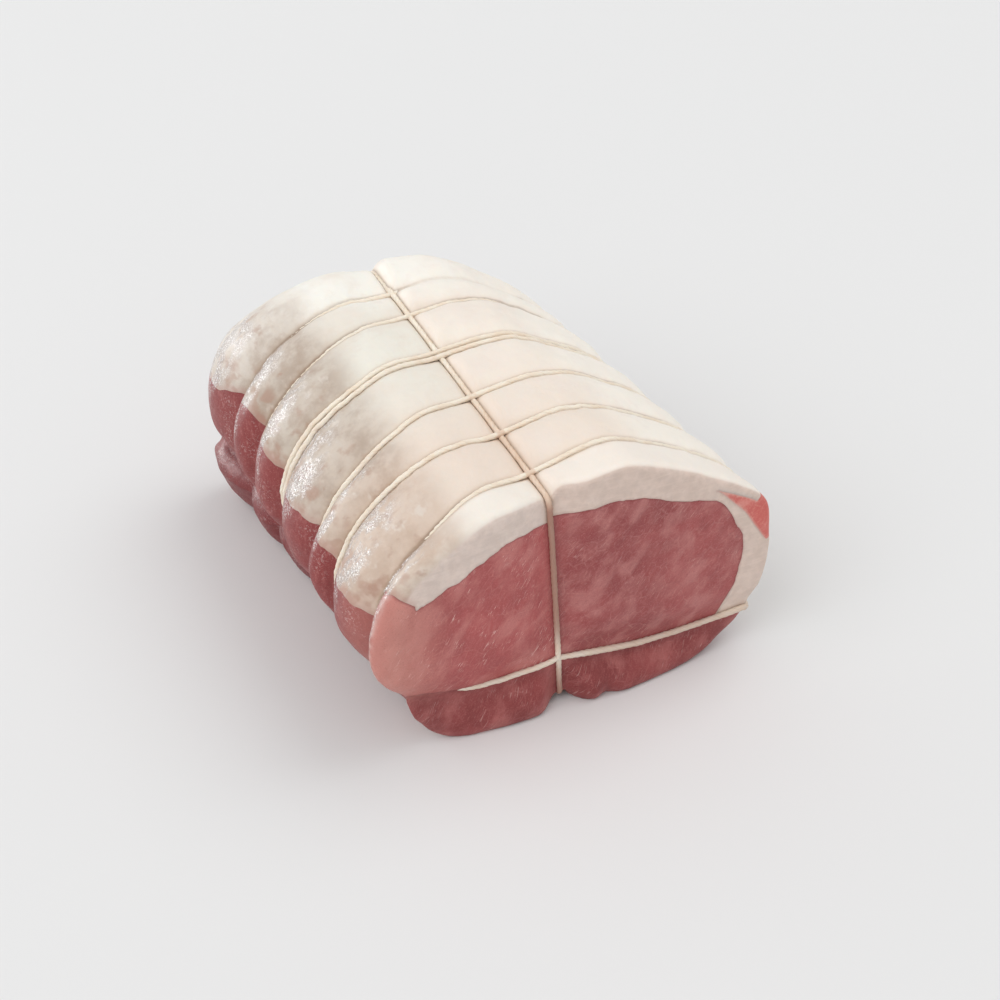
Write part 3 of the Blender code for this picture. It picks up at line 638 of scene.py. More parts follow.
def flap(y):
    left = skin(y, even(LEFT_FOOT, LEFT_CREASE, 26))
    right = skin(y, even(RIGHT_CREASE, RIGHT_FOOT, 22))
    top_left = crease(y, even(1, 0, 28), -1, -CREASE_GAP / 2)[1:]
    top_right = crease(y, even(0, 1, 32), 1, -CREASE_GAP / 2)[1:-1]
    dense = even(LEFT_FOOT, RIGHT_FOOT, 200)
    across = walk(y, dense)[0][:, 0]
    bottom = skin(y, np.interp(even(across[-1], across[0], 50)[1:-1], across, dense))
    return np.concatenate([left, top_left, top_right, right, bottom])


def cap(section):
    """Points filled in evenly inside a closed section, and the triangles between all of them."""
    low, high = section.min(axis=0), section.max(axis=0)
    columns = np.arange(low[0], high[0], CAP_STEP)
    rows = np.arange(low[1], high[1], CAP_STEP * CAP_ROW_SHARE)
    grid = np.array([(x + (i % 2) * CAP_STEP / 2, z) for i, z in enumerate(rows) for x in columns])
    inside = np.zeros(len(grid), dtype=bool)
    near = np.full(len(grid), np.inf)
    for start, end in zip(section, np.roll(section, -1, axis=0)):
        along = end - start
        from_start = grid - start
        crosses = (end[1] > grid[:, 1]) != (start[1] > grid[:, 1])
        if crosses.any():
            at = start[0] + from_start[crosses, 1] * along[0] / along[1]
            inside[np.flatnonzero(crosses)[grid[crosses, 0] < at]] ^= True
        share = np.clip(from_start @ along / max(along @ along, 1e-12), 0, 1)
        offset = from_start - share[:, None] * along
        near = np.minimum(near, np.einsum("ij,ij->i", offset, offset))
    grid = grid[inside & (near > (CAP_CLEARANCE * CAP_STEP) ** 2)]
    points = [Vector(p) for p in np.vstack([section, grid])]
    found = delaunay_2d_cdt(points, [], [list(range(len(section)))], 1, 1e-6)
    first = []
    for spot, sources in zip(found[0], found[3]):
        if not sources:  # where the section's own sides cross, the triangles need a new point
            grid = np.vstack([grid, tuple(spot)])
        first.append(sources[0] if sources else len(section) + len(grid) - 1)
    return grid, np.array(first)[np.array(found[2])]


def padded(numbers, length):
    """Numbers followed by zeros up to a length."""
    return np.pad(numbers, (0, length - len(numbers)))


def solid(piece, strings_near):
    """A closed mesh through a ring of points at each station, with even triangles in its ends."""
    ys = stations()
    sections = [piece.ring_at(y) for y in ys]
    count = len(sections[0])
    rings = np.arange(len(ys) * count).reshape(-1, count)
    following = np.roll(rings, -1, axis=1)
    quads = np.stack([rings[:-1], following[:-1], following[1:], rings[1:]], axis=-1)
    faces = quads.reshape(-1, 4).tolist()
    verts = np.concatenate([place(y, section) for y, section in zip(ys, sections)])
    for end in (0, -1):
        grid, triangles = cap(sections[end])
        index = np.append(rings[end], len(verts) + np.arange(len(grid)))
        faces += index[triangles].tolist()
        verts = np.concatenate([verts, place(ys[end], grid)])
    total = len(verts)
    from_end = np.minimum(ys - FRONT_Y, REAR_Y - ys)
    from_seam = verts[:, 0] + MIDDLE_X - seam_x(verts[:, 1], SEAM_TOP_Z)
    values = {
        "cut": 1 - padded(np.repeat(smooth(from_end / piece.cut_reach - 0.5), count), total),
        "border": padded(np.tile(padded(piece.border, count), len(ys)), total),
        "low": padded(np.tile(padded(piece.low, count), len(ys)), total),
        "ahead": padded(np.repeat(1 - smooth((ys - AHEAD_Y + 1) / 2), count), total),
        # seam: painted brownish shade beside the seam, stronger towards the front.
        "seam": bell(from_seam, SEAM_SHADE_REACH) * (0.3 + 0.7 * smooth((20 - verts[:, 1]) / 60)),
        # Nearness to the strings, which carries the painted shade beside them.
        "groove": nearness(verts, strings_near, STRING_SHADE_REACH),
    }
    return finish_mesh(piece.name, verts, faces, values)


def nearness(verts, tree, reach):
    """1 at the twine's surface, falling off to 0 over about reach mm."""
    near = np.array([tree.find(vert)[2] for vert in verts])
    return bell(np.maximum(near - TWINE_RADIUS, 0), reach)


def finish_mesh(name, verts, faces, values):
    """A smooth mesh in metres, with one number per vertex for each named value."""
    mesh = bpy.data.meshes.new(name)
    mesh.from_pydata((verts * MM).tolist(), [], faces)
    for label, numbers in values.items():
        attribute = mesh.attributes.new(label, "FLOAT", "POINT")
        attribute.data.foreach_set("value", np.asarray(numbers, dtype=np.float32))
    bm = bmesh.new()
    bm.from_mesh(mesh)
    bmesh.ops.recalc_face_normals(bm, faces=bm.faces[:])
    bm.to_mesh(mesh)
    bm.free()
    mesh.shade_smooth()
    mesh.set_sharp_from_angle(angle=SHARP_ANGLE)
    return add_object(name, mesh)


def add_object(name, data):
    """A new object in the scene."""
    made = bpy.data.objects.new(name, data)
    scene.collection.objects.link(made)
    return made


def directions(path, axis):
    """Along a closed path, and as unit vectors away from the axis that it runs round."""
    along = np.roll(path, -1, axis=0) - np.roll(path, 1, axis=0)
    return along, unit(np.cross(along, axis))


def lifted(points, axis, lift):
    """A closed path moved away from the axis that it runs round."""
    return points + directions(points, axis)[1] * np.reshape(lift, (-1, 1))


def resample(path, step):
    """Points at even distances along a closed path."""
    closed = np.vstack([path, path[:1]])
    length = np.append(0, np.cumsum(np.linalg.norm(np.diff(closed, axis=0), axis=1)))
    at = np.linspace(0, length[-1], int(length[-1] / step), endpoint=False)
    return np.column_stack([np.interp(at, length, closed[:, i]) for i in range(3)])


def tie_path(tie, offset):
    """One strand of a tie: in its channel round the roast and over the lengthwise string on top."""
    y = tie.seam + offset
    s = even(0, LAST, 400)
    lift = np.interp(s, *zip(*TIE_LIFTS)) + groove_depth(y, s)
    lift = lift - np.interp(s, TIE_SINKS_AT, TIE_SINKS[TIES.index(tie)])
    points = skin(y, s, -lift)
    points[:, 1] = np.maximum(points[:, 1], TWINE_RADIUS)
    over = seam_floor(y) + SEAM_LIFT + TIE_OVER_SEAM
    path = place(y, np.vstack([points, [[seam_x(y, over), over]]]))
    near = bell(np.linalg.norm(path - path[-1], axis=1), TIE_EASE_REACH)[:, None]
    for _ in range(TIE_EASE_ROUNDS):
        path += near * ((np.roll(path, 1, axis=0) + np.roll(path, -1, axis=0)) / 2 - path)
    return path


def lengthwise_path():
    """The string in the seam on top, down the rear cut, underneath and up the front cut."""
    ys = even(FRONT_Y, REAR_Y, 160)
    top = [(y, seam_floor(y)) for y in ys]
    foot, rear_foot = (skin(y, UNDER_SEAM)[0, 1] for y in (FRONT_Y, REAR_Y))
    rear = [(REAR_Y, z) for z in even(top[-1][1], rear_foot, 60)[1:]]
    under = [(y, UNDER_CHANNEL) for y in even(REAR_Y - 0.7, FRONT_Y + 0.7, 60)]
    front = [(FRONT_Y, z) for z in even(foot, top[0][1], 60)[:-1]]
    points = np.array([place(y, np.array([seam_x(y, z), z])) for y, z in top + rear + under + front])
    lift = np.full(len(points), FACE_LIFT)
    lift[: len(top)] = SEAM_LIFT - SEAM_TUCK * smooth((ys - SEAM_TUCK_Y) / 4)
    return lifted(points, (-1, 0, 0), lift)


def over_face(y, side):
    """The level string's way over a cut face, starting on the left (side -1) or the right."""
    inwards = place(y, crease(y, even(1, 0, FACE_STEPS), side, 0))[1:]
    outwards = place(y, crease(y, even(0, 1, FACE_STEPS), -side, 0))[1:-1]
    return np.concatenate([inwards, outwards])


def level_path():
    """The string round the roast in the crease above the flap, under the skin on the left flank."""
    ys = stations()
    left = [place(y, skin(y, LEFT_CREASE, -HIDDEN_LIFT)[0]) for y in ys[10:-4]]
    bite = column("bite", RIGHT_CREASE)
    right = [place(y, skin(y, RIGHT_CREASE, -bite * tie_depth(y))[0]) for y in ys[::-1]]
    path = np.concatenate([left, over_face(REAR_Y, -1), right, over_face(FRONT_Y, 1)])
    lift = np.full(len(path), FACE_LIFT)
    lift[: len(left)] = 0
    shares = even(0, 1, FACE_STEPS)[1:]
    lift[len(left) : len(left) + len(shares)] += (HIDDEN_LIFT - FACE_LIFT) * smooth((0.1 - shares) / 0.1)
    lift[-len(shares) :] += np.interp(shares, *zip(*LEVEL_DIVE))
    return lifted(path, (0, 0, -1), lift)


def string_paths():
    """Every string's closed path with the axis that it runs round."""
    paths = [(lengthwise_path(), (1, 0, 0)), (level_path(), (0, 0, 1))]
    for tie in TIES:
        for offset in strand_offsets(tie):
            paths.append((tie_path(tie, offset), (0, 1, 0)))
    return paths


def strand(path, axis):
    """The rings of a twisted string round a closed path, and where the crests of its plies lie."""
    path = resample(path, TWINE_STEP)
    along, away = directions(path, axis)
    across = unit(np.cross(along, away))
    turns = even(0, 2 * pi, TWINE_SIDES + 1)[:-1]
    twist = 2 * pi * np.arange(len(path)) * TWINE_STEP / PLY_PITCH
    thick = 1 + unevenness(path, TWINE_LUMPS)
    thick += LOOSER_TWINE * smooth(path[:, 0] / 8) * smooth((FACE_STRINGS - path[:, 1]) / 4)
    crest = np.abs(np.cos(PLIES / 2 * (turns - twist[:, None])))
    radius = TWINE_RADIUS * thick[:, None] * (1 - PLY_DEPTH + PLY_DEPTH * crest)
    round_path = away[:, None] * np.cos(turns)[:, None] + across[:, None] * np.sin(turns)[:, None]
    return path[:, None] + radius[..., None] * round_path, crest


def twine(paths):
    """All strings as one mesh, with the plies' depth and where the meat has soaked and stained it."""
    verts, faces, ply, base = [], [], [], 0
    for path, axis in paths:
        rings, crest = strand(path, axis)
        index = base + np.arange(crest.size).reshape(crest.shape)
        following = np.roll(index, -1, axis=0)
        quads = [index, np.roll(index, -1, axis=1), np.roll(following, -1, axis=1), following]
        faces.append(np.stack(quads, axis=-1).reshape(-1, 4))
        verts.append(rings.reshape(-1, 3))
        ply.append(crest.reshape(-1))
        base += crest.size
    verts = np.concatenate(verts)
    x, y, z = verts.T
    on_front = smooth((FACE_TOP - z) / 5) * smooth((FACE_STRINGS - y) / 4)
    on_rear = smooth((MEAT_TOP - z) / 6) * smooth((y - REAR_STRINGS) / 4)
    level = bell(np.abs(z - LEVEL_Z), LEVEL_REACH)
    in_seam = (np.abs(x + MIDDLE_X - seam_x(y, SEAM_TOP_Z)) < 1.3) * (z > MEAT_TOP)
    values = {
        "ply": np.concatenate(ply),
        "soak": np.maximum(on_front * (1 - 0.85 * level), 0.7 * on_rear * (1 - 0.5 * level)),
        "stain": 0.4 * in_seam * smooth((10 - y) / 60),
    }
    return finish_mesh("tied_twine", verts, np.concatenate(faces).tolist(), values)


def linear(colour):
    """A colour given as 0 to 255 sRGB numbers, as linear light."""
    c = np.array(colour, dtype=float) / 255
    return tuple(np.where(c <= 0.04045, c / 12.92, ((c + 0.055) / 1.055) ** 2.4))


class Surface:
    """One material; its methods add nodes and return the socket with their result."""

    def __init__(self, name, **inputs):
        self.material = bpy.data.materials.new(name)
        self.material.use_nodes = True
        self.tree = self.material.node_tree
        self.shader = self.fill(self.tree.nodes["Principled BSDF"], inputs)
        self.places = self.node("TexCoord").outputs["Object"]
        self.x, self.y, self.z = self.node("SeparateXYZ", Vector=self.places).outputs

    def feed(self, socket, value):
        """Links another node's result or sets a value; a colour has three numbers from 0 to 255."""
        if isinstance(value, bpy.types.NodeSocket):
            self.tree.links.new(value, socket)
        elif socket.type == "RGBA" and len(value) == 3:
            socket.default_value = (*linear(value), 1)
        else:
            socket.default_value = value

    def fill(self, node, values):
        """Sets a node's properties, named in lower case, and its inputs, with _ for a space."""
        for label, value in values.items():
            if label.islower():
                setattr(node, label, value)
            else:
                self.feed(node.inputs[label.replace("_", " ")], value)
        return node

    def shade(self, **inputs):
        self.fill(self.shader, inputs)

    def node(self, kind, **values):
        return self.fill(self.tree.nodes.new("ShaderNode" + kind), values)

    def joined(self, operation, values):
        """Numbers or sockets put together one after the other."""
        result = values[0]
        for value in values[1:]:
            node = self.node("Math", operation=operation)
            self.feed(node.inputs[0], result)
            self.feed(node.inputs[1], value)
            result = node.outputs[0]
        return result

    def times(self, *values):
        return self.joined("MULTIPLY", values)

    def plus(self, *values):
        return self.joined("ADD", values)

    def ramp(self, value, low, high):
        """0 at low, 1 at high, soft in between."""
        soft = {"interpolation_type": "SMOOTHSTEP", "From_Min": low, "From_Max": high}
        return self.node("MapRange", Value=value, **soft).outputs["Result"]

    def turned(self, size, turn, shift):
        """Places measured in size mm, one number or one for each turned axis."""
        sizes = size if isinstance(size, tuple) else (size,) * 3
        mapping = self.node(
            "Mapping",
            vector_type="TEXTURE",
            Vector=self.places,
            Location=(shift * MM, shift * MM * 0.7, shift * MM * 0.4),
            Rotation=[radians(angle) for angle in turn],
            Scale=[s * MM for s in sizes],
        )
        return mapping.outputs[0]

    def noise(self, size, detail=2, roughness=0.5, turn=(0, 0, 0), shift=0, warp=0):
        """Noise from 0 to 1; size in mm, one number or one for each turned axis."""
        places = self.turned(size, turn, shift)
        look = {"Detail": detail, "Roughness": roughness, "Distortion": warp}
        return self.node("TexNoise", Vector=places, Scale=1, **look).outputs["Fac"]

    def value(self, name):
        """A number stored on the mesh's points."""
        return self.node("Attribute", attribute_name=name).outputs["Fac"]

    def cells(self, size, turn, blur, warp):
        """A random number from 0 to 1 for each of many soft-edged cells; size in mm."""
        places = self.turned(size, turn, 0)
        bend = self.node("TexNoise", Vector=places, Scale=1.5)
        moved = self.node("VectorMath", operation="MULTIPLY_ADD")
        for socket, value in zip(moved.inputs, (bend.outputs["Color"], (warp,) * 3, places)):
            self.feed(socket, value)
        soft = {"feature": "SMOOTH_F1", "Smoothness": blur}
        cells = self.node("TexVoronoi", Vector=moved.outputs[0], Scale=1, **soft)
        return self.node("SeparateColor", Color=cells.outputs["Color"]).outputs[0]

    def web(self, size, turn):
        """1 on the fine lines between many cells, 0 inside them; size in mm."""
        places = self.turned(size, turn, 0)
        cells = self.node("TexVoronoi", feature="DISTANCE_TO_EDGE", Vector=places, Scale=1)
        return self.ramp(cells.outputs["Distance"], 0.09, 0)

    def facing(self, direction):
        """1 where the surface faces a direction, 0 where it faces across it or away."""
        node = self.node("VectorMath", operation="DOT_PRODUCT")
        self.feed(node.inputs[0], self.node("NewGeometry").outputs["Normal"])
        self.feed(node.inputs[1], Vector(direction).normalized())
        return node.outputs["Value"]

    def mix(self, share, a, b):
        """Colour a where share is 0, colour b where it is 1."""
        node = self.node("Mix", data_type="RGBA", clamp_factor=True, Factor=share)
        self.feed(node.inputs[6], a)
        self.feed(node.inputs[7], b)
        return node.outputs[2]

    def paint(self, colour, *shares):
        """Lays a colour over what is painted so far; the shares are multiplied."""
        self.colour = self.mix(self.times(*shares), self.colour, colour)

    def bump(self, height, label="Normal"):
        """Fine relief from a height in mm."""
        node = self.node("Bump", Strength=1, Distance=MM, Height=height)
        self.feed(self.shader.inputs[label], node.outputs["Normal"])

    def wet(self, weight):
        """A film of moisture whose broken surface glitters."""
        self.shade(Coat_Weight=weight)
        ripples = self.times(self.noise(1.1, 2, 0.6, shift=17), 0.3)
        waves = self.times(self.noise(3, 2, 0.6, shift=29), 0.5)
        self.bump(self.plus(ripples, waves), "Coat Normal")

    def painted_glints(self):
        """Where highlights are painted on the flank's left shoulders that face up and to the left, and the
        fine bright grains painted there as glints.
        """
        shoulder = self.times(self.ramp(self.facing(GLINT_FACING), 0.82, 0.95), self.ramp(self.x, -0.04, -0.05))
        patches = self.ramp(self.noise((6, 5, 9), 3, 0.6, shift=19), 0.4, 0.54)
        glints = self.ramp(self.noise(0.6, 2, 0.8, shift=13, warp=0.6), 0.51, 0.58)
        above_flap = self.plus(self.times(self.ramp(self.z, 0.02, 0.034), 0.75), 0.25)
        glint_region = self.times(shoulder, patches, above_flap)
        return glint_region, self.times(glint_region, glints)


def fat_material(name, rear, front, strip, cut, clouds):
    """Fat: paler at the rear and on the right; grey, partly as painted shade, stained and wet in patches on
    the left flank, with painted glints there.
    """
    m = Surface(
        name,
        Subsurface_Weight=0.3,
        Subsurface_Radius=(1, 0.8, 0.65),
        Subsurface_Scale=0.001,
        Specular_IOR_Level=0.35,
        Coat_Roughness=0.12,
    )
    flank = m.ramp(m.x, -0.028, -0.043)
    m.colour = m.mix(m.ramp(m.y, -0.045, 0.01), front, rear)
    m.paint((252, 248, 240), m.ramp(m.y, 0.02, 0.055), 0.8)
    m.paint((255, 246, 235), m.ramp(m.x, 0.014, 0.036), 0.9)
    broad = m.ramp(m.noise(17, 3, shift=3), 0.4, 0.68)
    m.paint(clouds, broad, m.ramp(m.x, 0.046, 0.02), 0.5)
    fine = m.ramp(m.noise(4, 4, 0.6, shift=11), 0.5, 0.75)
    m.paint(clouds, fine, 0.3)
    m.paint(strip, m.value("ahead"), 0.8)
    # Painted shade: the left flank is greyer and darker, partly the fat's own tone and partly shade for the
    # dimmer light on that side.
    grey_and_shade = m.plus(m.times(m.ramp(m.noise(9, 4, 0.6, shift=23), 0.36, 0.62), 0.36), 0.58)
    forward = m.mix(m.ramp(m.y, -0.02, -0.045), (182, 163, 147), (202, 179, 161))
    m.paint(forward, grey_and_shade, m.ramp(m.y, 0.08, 0.04), flank)
    smear = m.ramp(m.noise((5, 9, 7), 3, 0.55, shift=31), 0.6, 0.72)
    m.paint((228, 218, 208), smear, flank, 0.6)
    stain = m.ramp(m.noise((6, 5, 4), 3, 0.5, shift=41), 0.55, 0.7)
    m.paint((176, 138, 118), stain, m.ramp(m.x, -0.036, -0.048), 0.5)
    bare = m.ramp(m.noise((8, 7, 6), 2, 0.5, shift=67), 0.46, 0.6)
    m.paint((180, 140, 122), m.value("low"), bare, 0.5)
    # Painted brownish shade beside the seam.
    m.paint((206, 172, 144), m.value("seam"), 0.26)
    mottled = m.ramp(m.noise(3.5, 4, 0.6, shift=7), 0.35, 0.7)
    layers = m.ramp(m.noise((9, 2, 1), 3, 0.6, shift=2), 0.45, 0.7)
    face = m.mix(mottled, [c - 6 for c in cut], [c + 6 for c in cut])
    face = m.mix(m.times(layers, 0.3), face, [c + 14 for c in cut])
    m.paint(face, m.value("cut"))
    m.paint((190, 144, 134), m.value("border"), 0.42)
    groove = m.value("groove")
    # Painted shade beside the strings: a brownish halo and a thin dark contact shadow, darker on the flank.
    m.paint((200, 166, 134), groove, 0.3)
    m.paint((120, 92, 68), groove, groove, groove, m.plus(m.times(flank, 0.25), 0.45))
    glint_region, glints = m.painted_glints()
    # Painted glints: the fat is greyer where they lie, with fine white grains as painted highlights.
    m.paint((172, 160, 156), glint_region, 0.62)
    m.paint(GLINT_WHITE, glints, 0.85)
    m.shade(Base_Color=m.colour, Roughness=m.plus(m.times(m.noise(6, shift=5), 0.2), 0.5))
    m.wet(m.times(glint_region, 0.35))
    m.bump(m.plus(
        m.times(m.noise(0.9, 3, 0.7), 0.1),
        m.times(m.noise(2.6, 2, 0.6, shift=9), 0.18),
        m.times(m.noise((1.2, 6, 1.2), shift=2), 0.06),
    ))
    return m.material


def meat_material(name, tone, pale, dark, side, border, turn, scratched):
    """Lean meat: fibres, fine lines and scratches in the cut, darker and smoother on the side."""
    m = Surface(
        name,
        Subsurface_Weight=0.15,
        Subsurface_Radius=(1, 0.35, 0.3),
        Subsurface_Scale=0.001,
        Specular_IOR_Level=0.3,
        Coat_Roughness=0.12,
    )
    lean = (0, turn, 0)
    broad = m.ramp(m.noise(24, shift=7), 0.35, 0.65)
    m.colour = tone
    m.paint(dark, broad, 0.5)
    patch = m.noise((6.5, 12, 11), 2, 0.45, turn=lean, shift=53)
    m.paint(pale, m.ramp(patch, 0.47, 0.68), 0.5)
    m.paint(dark, m.ramp(patch, 0.45, 0.25), 0.35)
    bundle = m.cells((4, 6, 6), lean, 1, 0.8)
    m.paint(pale, m.ramp(bundle, 0.45, 0.9), 0.22)
    m.paint(dark, m.ramp(bundle, 0.45, 0.1), 0.18)
    lines = m.times(m.web((2.6, 6, 4.2), lean), m.ramp(m.noise(5, shift=61), 0.42, 0.62))
    m.paint(pale, lines, 0.3)
    fibre = m.noise((0.55, 2, 1.7), 4, 0.65, turn=lean, warp=0.3)
    m.paint(pale, m.ramp(fibre, 0.5, 0.72), 0.32)
    m.paint(dark, m.ramp(fibre, 0.48, 0.28), 0.32)
    scratch = m.ramp(m.noise((0.22, 4, 3), 1, 0.5, turn=lean, shift=5, warp=0.4), 0.64, 0.72)
    where = m.ramp(m.noise(7, 1, shift=3), 0.5, 0.6)
    m.paint((240, 206, 198), scratch, where, scratched)
    # Painted glow: the cut is lighter and more orange towards its thin left edge, where light shines
    # through the meat.
    left_edge_glow = m.times(m.ramp(m.x, -0.036, -0.06), m.ramp(m.y, 0.04, -0.04), m.ramp(m.z, 0.014, 0.024))
    m.paint((214, 152, 139), left_edge_glow, 0.66)
    streak = m.noise((1.2, 3, 5), 4, 0.65, shift=47)
    flank = m.mix(m.times(m.ramp(streak, 0.5, 0.75), 0.3), side, pale)
    flank = m.mix(m.times(m.ramp(streak, 0.45, 0.25), 0.5), flank, [c * 0.8 for c in side])
    flank = m.mix(m.times(m.ramp(m.y, -0.048, -0.062), 0.5), flank, (188, 124, 114))
    cut = m.value("cut")
    uncut = m.plus(m.times(cut, -1), 1)
    m.colour = m.mix(cut, flank, m.colour)
    m.paint(border, m.value("border"), cut, 0.6)
    grain = m.noise(0.42, 3, 0.75, shift=1)
    m.paint(pale, m.ramp(grain, 0.53, 0.7), 0.42)
    m.paint(dark, m.ramp(grain, 0.46, 0.3), 0.35)
    # Painted glints: fine pale specks in patches on the uncut surface, standing in for the sparkle of its
    # moisture.
    sheen = m.ramp(m.noise(7, 3, 0.6, shift=83), 0.42, 0.66)
    dew_glints = m.ramp(m.noise(0.8, 2, 0.8, shift=37, warp=0.5), 0.55, 0.62)
    m.paint((236, 216, 212), uncut, sheen, dew_glints, 0.3)
    rim = m.times(cut, uncut, m.ramp(m.noise(4, shift=71), 0.35, 0.6), 2.2)
    m.paint((232, 204, 196), rim, m.ramp(m.x, -0.03, -0.045), m.ramp(m.y, -0.04, -0.055))
    # Painted shade beside the strings.
    m.paint((118, 58, 54), m.value("groove"), 0.3)
    glint_region, glints = m.painted_glints()
    # Painted glints: a paler tint as painted sheen, with fine white grains as painted highlights.
    m.paint((160, 104, 102), glint_region, 0.25)
    m.paint(GLINT_WHITE, glints, 0.75)
    m.shade(Base_Color=m.colour, Roughness=m.plus(m.times(m.noise(3, shift=5), 0.2), 0.42))
    m.wet(m.plus(m.times(glint_region, 0.4), 0.08))
    m.bump(m.plus(
        m.times(m.noise(0.7, 3, 0.7), 0.09),
        m.times(m.noise((0.8, 5, 3.6), 3, 0.6, turn=lean), 0.08),
        m.times(m.noise(3.5, 2, 0.6, shift=9), 0.18),
        m.times(lines, -0.06),
    ))
    return m.material


def twine_material():
    """Cotton: painted shade between the plies, fuzzy, stained in the seam and soaked on the cut faces."""
    m = Surface(
        "cotton_twine",
        Roughness=0.85,
        Subsurface_Weight=0.15,
        Subsurface_Radius=(1, 0.8, 0.6),
        Subsurface_Scale=0.0006,
    )
    m.colour = PALE_COTTON
    m.paint((242, 226, 206), m.ramp(m.noise(5), 0.35, 0.7))
    # Painted shade in the hollows between the plies.
    m.paint((206, 178, 148), m.ramp(m.value("ply"), 0.45, 0), 0.35)
    m.paint(PALE_COTTON, m.ramp(m.noise(0.35, 2, 0.7), 0.45, 0.7), 0.25)
    m.paint((206, 154, 118), m.value("stain"))
    m.paint((172, 130, 114), m.value("soak"), 0.95)
    m.shade(Base_Color=m.colour)
    m.bump(m.plus(m.times(m.noise(0.3, 2, 0.7), 0.12), m.times(m.noise(0.8), 0.1)))
    return m.material


def direction(azimuth, elevation):
    """The way from the roast to these angles; azimuth 0 is in front of the cut and grows to the right."""
    level = Vector((sin(azimuth), -cos(azimuth), 0))
    return level * cos(elevation) + Vector((0, 0, sin(elevation)))


def make_camera():
    """The camera that looks down at the front cut from its left."""
    forward = -direction(AZIMUTH, ELEVATION)
    right = Vector((cos(AZIMUTH), sin(AZIMUTH), 0))
    up = right.cross(forward)
    beside_middle, below_middle = ((px - PICTURE_PX / 2) / FOCAL_PX for px in FOLLOWED_PX)
    ray = forward + right * beside_middle - up * below_middle
    data = bpy.data.cameras.new("camera")
    data.sensor_width = SENSOR
    data.lens = FOCAL_PX / PICTURE_PX * SENSOR
    camera = add_object("camera", data)
    turned = Matrix((right, up, -forward)).transposed().to_4x4()
    camera.matrix_world = Matrix.Translation(FOLLOWED - ray * DISTANCE) @ turned
    scene.camera = camera


def make_floor():
    """The plain pale surface under the roast."""
    mesh = bpy.data.meshes.new("floor")
    mesh.from_pydata([(-6, -6, 0), (6, -6, 0), (6, 6, 0), (-6, 6, 0)], [], [(0, 1, 2, 3)])
    mesh.materials.append(Surface("pale_floor", Roughness=0.9, Base_Color=FLOOR_COLOUR).material)
    return add_object("floor", mesh)


def make_world():
    """Even white light from all round."""
    world = bpy.data.worlds.new("studio")
    world.use_nodes = True
    background = world.node_tree.nodes["Background"]
    background.inputs["Color"].default_value = (1, 1, 1, 1)
    background.inputs["Strength"].default_value = WORLD
    scene.world = world
    scene.view_settings.view_transform = "Standard"


def add_lamp(name, kind, azimuth, elevation, distance=1, **settings):
    """A lamp that shines at the roast; its angles are in degrees."""
    data = bpy.data.lights.new(name, kind)
    for label, value in settings.items():
        setattr(data, label, value)
    lamp = add_object(name, data)
    away = direction(radians(azimuth), radians(elevation))
    turned = away.to_track_quat("Z", "Y").to_matrix().to_4x4()
    lamp.matrix_world = Matrix.Translation(away * distance) @ turned
    return lamp


def add_sun(name, azimuth, elevation, on_floor, softness):
    """A sun that adds the given share of the floor's brightness."""
    energy = pi * on_floor / sin(radians(elevation))
    add_lamp(name, "SUN", azimuth, elevation, energy=energy, angle=radians(softness))


string_lines = string_paths()
string_points = np.concatenate([resample(path, 1) for path, _ in string_lines])
string_tree = KDTree(len(string_points))
for index, point in enumerate(string_points):
    string_tree.insert(point, index)
string_tree.balance()

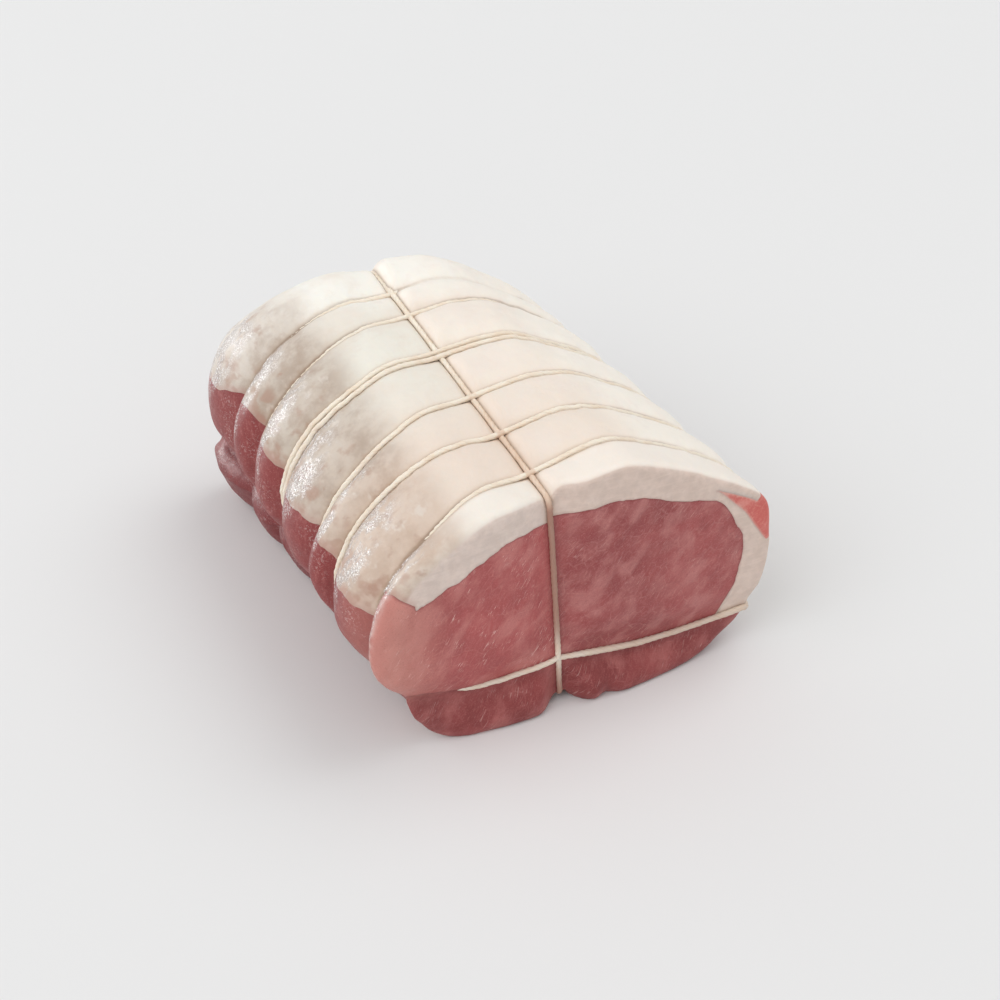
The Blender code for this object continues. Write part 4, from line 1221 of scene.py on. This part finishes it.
# How near each point of a ring is to the border between fat and lean, in the ring's order.
SKIN_SHARE = even(0, 1, SHEET_POINTS)
FAT_RIM = smooth((SKIN_SHARE - 0.93) / 0.07)
FAT_LOW = smooth((SKIN_SHARE - 0.76) / 0.08)
BURIED = INNER_POINTS + TOP_POINTS - 1
LEFT_FAT_BORDER = np.append(FAT_RIM, np.ones(TIP_POINTS + TOP_POINTS))
RIGHT_FAT_BORDER = np.repeat((0, 1, 0, 1), (SHOULDER_POINTS, POCKET_POINTS, SIDE_POINTS + 1, BURIED))
LEFT_LOIN_BORDER = np.repeat((0, 1), (FLANK_POINTS - 2, TIP_POINTS + TOP_POINTS + 1))
SHOULDER_BORDER = np.repeat((0.5, 0, 1), (1, LEAN_POINTS - 1, POCKET_POINTS))

Piece = namedtuple("Piece", "name node ring_at cut_reach border low material")
PIECES = (
    Piece("left_fat_sheet", "fat_left", left_fat, CRISP, LEFT_FAT_BORDER, FAT_LOW, fat_material(
        "left_fat", (238, 234, 223), (237, 221, 207), (246, 240, 231), (226, 209, 199), (230, 218, 205))),
    Piece("right_fat_sheet", "fat_right", right_fat, CRISP, RIGHT_FAT_BORDER, (), fat_material(
        "right_fat", (246, 236, 224), (239, 225, 211), (248, 238, 228), (222, 202, 190), (240, 227, 217))),
    Piece("left_loin_muscle", "loin_left", left_loin, SOFT, LEFT_LOIN_BORDER, (), meat_material(
        "left_loin", (184, 93, 92), (208, 138, 132), (154, 74, 74), (144, 66, 65), (132, 62, 60), 35, 0.8)),
    Piece("right_loin_muscle", "loin_right", right_loin, SOFT, np.ones(BURIED), (), meat_material(
        "right_loin", (172, 89, 88), (204, 140, 135), (139, 66, 67), (144, 66, 65), (128, 60, 59), 38,
        0.35)),
    Piece("thin_flap", "flap", flap, SOFT, (), (), meat_material(
        "flap_meat", (153, 74, 73), (186, 114, 110), (120, 52, 52), (127, 54, 55), (129, 56, 57), 35, 0.3)),
    Piece("shoulder_lean", "side_lean", side_lean, SOFT, SHOULDER_BORDER, (), meat_material(
        "shoulder_meat", (216, 114, 106), (234, 166, 154), (204, 94, 86), (208, 124, 112), (234, 194, 180),
        45, 0)),
)
for piece in PIECES:
    made = solid(piece, string_tree)
    made.data.materials.append(piece.material)
    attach(made, "root")
    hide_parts(piece.node)
strings = twine(string_lines)
strings.data.materials.append(twine_material())
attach(strings, "root")
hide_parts("twine")

make_camera()
floor_piece = make_floor()
make_world()
add_sun("key", 95, 58, KEY, 45)
add_sun("fill", -72, 46, FILL, 50)
strip = add_lamp("strip", "AREA", -137, 16, 0.8, shape="RECTANGLE", size=0.5, size_y=0.22, energy=6)
strip.visible_diffuse = False
